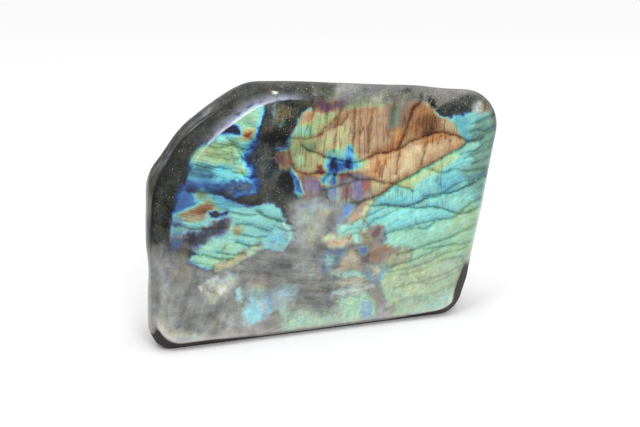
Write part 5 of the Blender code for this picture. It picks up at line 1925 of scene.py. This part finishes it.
@dataclass(frozen=True)
class Zones:
    """Where each zone of the surface starts and how softly, in millimetres across, up and behind the face.

    The flash and the markings end at shares of their reaches, and turned_down goes by how far a point faces
    down.
    """

    flash_end: Rise = Rise(0.4, 0.9)
    markings_end: Rise = Rise(0.8, 0.3)
    crease_left: Rise = Rise(-29.0, -5.0)
    crease_up: Rise = Rise(26.0, 16.0)
    rim_up: Rise = Rise(65.0, 11.0)
    rim_right_end: Rise = Rise(-18.0, 12.0)
    foot_rim_middle: float = 0.2
    foot_rim_ends: float = 0.35
    foot_rim_left: Rise = Rise(-30.0, -20.0)
    foot_rim_right: Rise = Rise(30.0, 10.0)
    foot_rim_top: Rise = Rise(8.0, 6.0)
    foot_top: Rise = Rise(0.05, 0.4)
    under_start: float = 0.5
    under_set_back: float = 2.2
    set_back_left: Rise = Rise(-45.0, 25.0)
    set_back_right_end: Rise = Rise(15.0, 25.0)
    under_brought_out: float = -0.6
    brought_out_right: Rise = Rise(36.0, 6.0)
    under_edge: float = 0.5
    turned_down: Rise = Rise(0.12, 0.08)
    turned_down_top: Rise = Rise(20.8, 1.6)
    corner_right: Rise = Rise(43.0, 2.0)
    corner_top: Rise = Rise(18.0, 1.0)
    pale_top: float = 0.03
    pale_top_up: Rise = Rise(66.0, 10.0)
    pale_top_right: Rise = Rise(-22.0, 20.0)
    pale_foot: float = 0.05
    pale_foot_top: Rise = Rise(0.0, 7.0)

    def crease_shade_zone(self, x: Array, z: Array) -> Array:
        """Where the crease behind the bevel gets painted shade: down the left and upper left flank."""
        return self.crease_left.at(x) * self.crease_up.at(z)

    def rim(self, x: Array, z: Array) -> Array:
        """Where the painted highlight on the rim shows: up the upper left edge and round the crown."""
        return self.rim_up.at(z) * (1 - self.rim_right_end.at(x))

    def foot_rim(self, x: Array, z: Array) -> Array:
        """Where the painted reflection on the rim above the foot shows: most at its two ends."""
        ends = self.foot_rim_ends * self.foot_rim_left.at(x) + self.foot_rim_ends * self.foot_rim_right.at(x)
        return (self.foot_rim_middle + ends) * (1 - self.foot_rim_top.at(z))

    def paleness(self, x: Array, z: Array) -> Array:
        """How much paler than usual the flank is: a little at the top right and at the foot."""
        top = self.pale_top_up.at(z) * self.pale_top_right.at(x)
        return self.pale_top * top + self.pale_foot * (1 - self.pale_foot_top.at(z))

    def underside(self, points: Array, depth: Array, downward: Array) -> Array:
        """How far each point lies in the painted shade of the underside that curves in to the foot, from 0
        to 1.

        Args:
            points: Points of the stone, one a row.
            depth: How far each is behind the plane of the face.
            downward: How far each faces down.

        Returns:
            One value for each point.
        """
        x, z = points[:, 0], points[:, 2]
        set_back = self.under_set_back * self.set_back_left.at(x) * (1 - self.set_back_right_end.at(x))
        start = self.under_start + set_back + self.under_brought_out * self.brought_out_right.at(x)
        turned = self.turned_down.at(downward) * (1 - self.turned_down_top.at(z))
        corner = self.corner_right.at(x) * (1 - self.corner_top.at(z))
        return np.maximum(turned, corner) * smooth_step((depth - start) / self.under_edge)


@dataclass(frozen=True)
class Stone:
    """The polished labradorite: its mesh, what its finish reads there, and the finish."""

    mesh: StoneMesh
    play: PlayOfColour
    zones: Zones
    finish: LabradoriteFinish

    def build(self) -> bpy.types.Object:
        """Builds and dresses the stone and ties it to the CAD part.

        Returns:
            The stone.
        """
        stone = self.mesh.build()
        self.write_values(stone.data)
        stone.data.materials.append(self.finish.made())
        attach(stone, "root")
        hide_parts("labradorite_stone")
        return stone

    def write_values(self, mesh: bpy.types.Mesh) -> None:
        """Works out the values at every point and keeps them on the mesh.

        Args:
            mesh: The stone's mesh.
        """
        built, zones, points = self.mesh, self.zones, self.mesh.points
        x, z = points[:, 0], points[:, 2]
        depth = points[:, 1] - built.loft.face_y(z)
        place_x, place_z = self.play.seen_at(points, np.maximum(depth, 0.0))
        values = self.play.fields(place_x, place_z)
        values["flash"] *= 1 - zones.flash_end.at(depth, built.flash_reaches)
        normals = np.zeros(3 * len(points))
        mesh.vertex_normals.foreach_get("vector", normals)
        values |= {
            "place_x": place_x,
            "place_z": place_z,
            "front": 1 - zones.markings_end.at(depth, built.marking_reaches),
            # The crease and the underside get painted shade, the upper rim a painted highlight, and the foot
            # rim a painted reflection.
            "crease": built.crease * zones.crease_shade_zone(x, z),
            "foot": 1 - zones.foot_top.at(z),
            "paleness": zones.paleness(x, z),
            "rim": built.upper_highlight_amounts * zones.rim(x, z),
            "foot_rim": built.foot_reflection_amounts * zones.foot_rim(x, z),
            "under": zones.underside(points, depth, -normals[2::3]),
        }
        for name, amounts in values.items():
            attribute = mesh.attributes.new(name, "FLOAT", "POINT")
            attribute.data.foreach_set("value", amounts.astype(np.float32))


@dataclass(frozen=True)
class Softbox:
    """One soft lamp, aimed at the stone."""

    name: str
    place: tuple[float, float, float]
    size: tuple[float, float]
    watts: float
    colour: tuple[float, float, float] = (1.0, 1.0, 1.0)


@dataclass(frozen=True)
class Studio:
    """A plain pale floor, soft light, and the camera. Lengths are in metres, and the lens in millimetres."""

    floor_side: float = 14.0
    floor_colour: Paint = (0.93, 0.93, 0.93, 1.0)
    floor_roughness: float = 0.8
    floor_specular: float = 0.1
    horizon_light: float = 0.22
    zenith_light: float = 1.4
    azimuth_deg: float = -21.0
    elevation_deg: float = 14.5
    distance: float = 0.430
    lens: float = 70.0
    target: tuple[float, float, float] = (0.0, -0.0024, 0.0376)
    softboxes: tuple[Softbox, ...] = (
        Softbox("high_front", (-0.05, -1.06, 0.60), (0.42, 0.46), 6.0, (0.96, 0.95, 1.0)),
        Softbox("overhead_left", (-0.42, -0.30, 0.80), (0.22, 0.22), 1.0),
    )

    def build(self) -> None:
        """Lays the floor, hangs the lamps and sets up the camera."""
        self.lay_floor()
        self.light_world()
        for softbox in self.softboxes:
            self.hang(softbox)
        self.place_camera()
        bpy.context.scene.view_settings.view_transform = "Standard"

    def lay_floor(self) -> None:
        """Lays the floor under the stone."""
        half = self.floor_side / 2
        mesh = bpy.data.meshes.new("floor")
        corners = [(-half, -half, 0), (half, -half, 0), (half, half, 0), (-half, half, 0)]
        mesh.from_pydata(corners, [], [(0, 1, 2, 3)])
        floor = bpy.data.objects.new("floor", mesh)
        bpy.context.scene.collection.objects.link(floor)
        material = bpy.data.materials.new("pale_floor")
        material.use_nodes = True
        graph = Graph(material.node_tree)
        inputs = {"Base Color": self.floor_colour, "Roughness": self.floor_roughness}
        inputs["Specular IOR Level"] = self.floor_specular
        graph.set(graph.nodes["Principled BSDF"], inputs)
        mesh.materials.append(material)

    def light_world(self) -> None:
        """Lights the stone from all round, most from above."""
        world = bpy.data.worlds.new("studio")
        world.use_nodes = True
        graph = Graph(world.node_tree)
        direction = graph.add("TexCoord", {}).outputs["Generated"]
        height = graph.add("SeparateXYZ", {0: direction}).outputs["Z"]
        inputs = {"Value": height, "To Min": self.horizon_light, "To Max": self.zenith_light}
        light = graph.add("MapRange", inputs).outputs["Result"]
        graph.set(graph.nodes["Background"], {"Color": (1.0, 1.0, 1.0, 1.0), "Strength": light})
        bpy.context.scene.world = world

    def hang(self, softbox: Softbox) -> None:
        """Hangs one lamp and aims it at the stone.

        Args:
            softbox: The lamp.
        """
        lamp = bpy.data.lights.new(softbox.name, "AREA")
        lamp.shape = "RECTANGLE"
        lamp.size, lamp.size_y = softbox.size
        lamp.energy = softbox.watts
        lamp.color = softbox.colour
        hung = bpy.data.objects.new(softbox.name, lamp)
        hung.location = softbox.place
        aim = Vector(self.target) - Vector(softbox.place)
        hung.rotation_euler = aim.to_track_quat("-Z", "Y").to_euler()
        bpy.context.scene.collection.objects.link(hung)

    def place_camera(self) -> None:
        """Stands the camera to the left of the stone and a little above it."""
        azimuth, elevation = math.radians(self.azimuth_deg), math.radians(self.elevation_deg)
        level = math.cos(elevation)
        back = Vector((math.sin(azimuth) * level, -math.cos(azimuth) * level, math.sin(elevation)))
        lens = bpy.data.cameras.new("camera")
        lens.lens = self.lens
        camera = bpy.data.objects.new("camera", lens)
        camera.location = Vector(self.target) + back * self.distance
        camera.rotation_euler = back.to_track_quat("Z", "Y").to_euler()
        bpy.context.scene.collection.objects.link(camera)
        bpy.context.scene.camera = camera


def main() -> None:
    """Builds the stone and its studio, and reports each."""
    logging.basicConfig(level=logging.INFO, format="%(message)s")
    mesh = StoneMesh(StoneSize(), MeshSize())
    stone = Stone(mesh, PlayOfColour(PlaySize()), Zones(), LabradoriteFinish()).build()
    log.info("%s: %d points, %d faces", stone.name, len(stone.data.vertices), len(stone.data.polygons))
    Studio().build()
    log.info("studio: floor, lamps and camera")


if __name__ == "__main__":
    main()
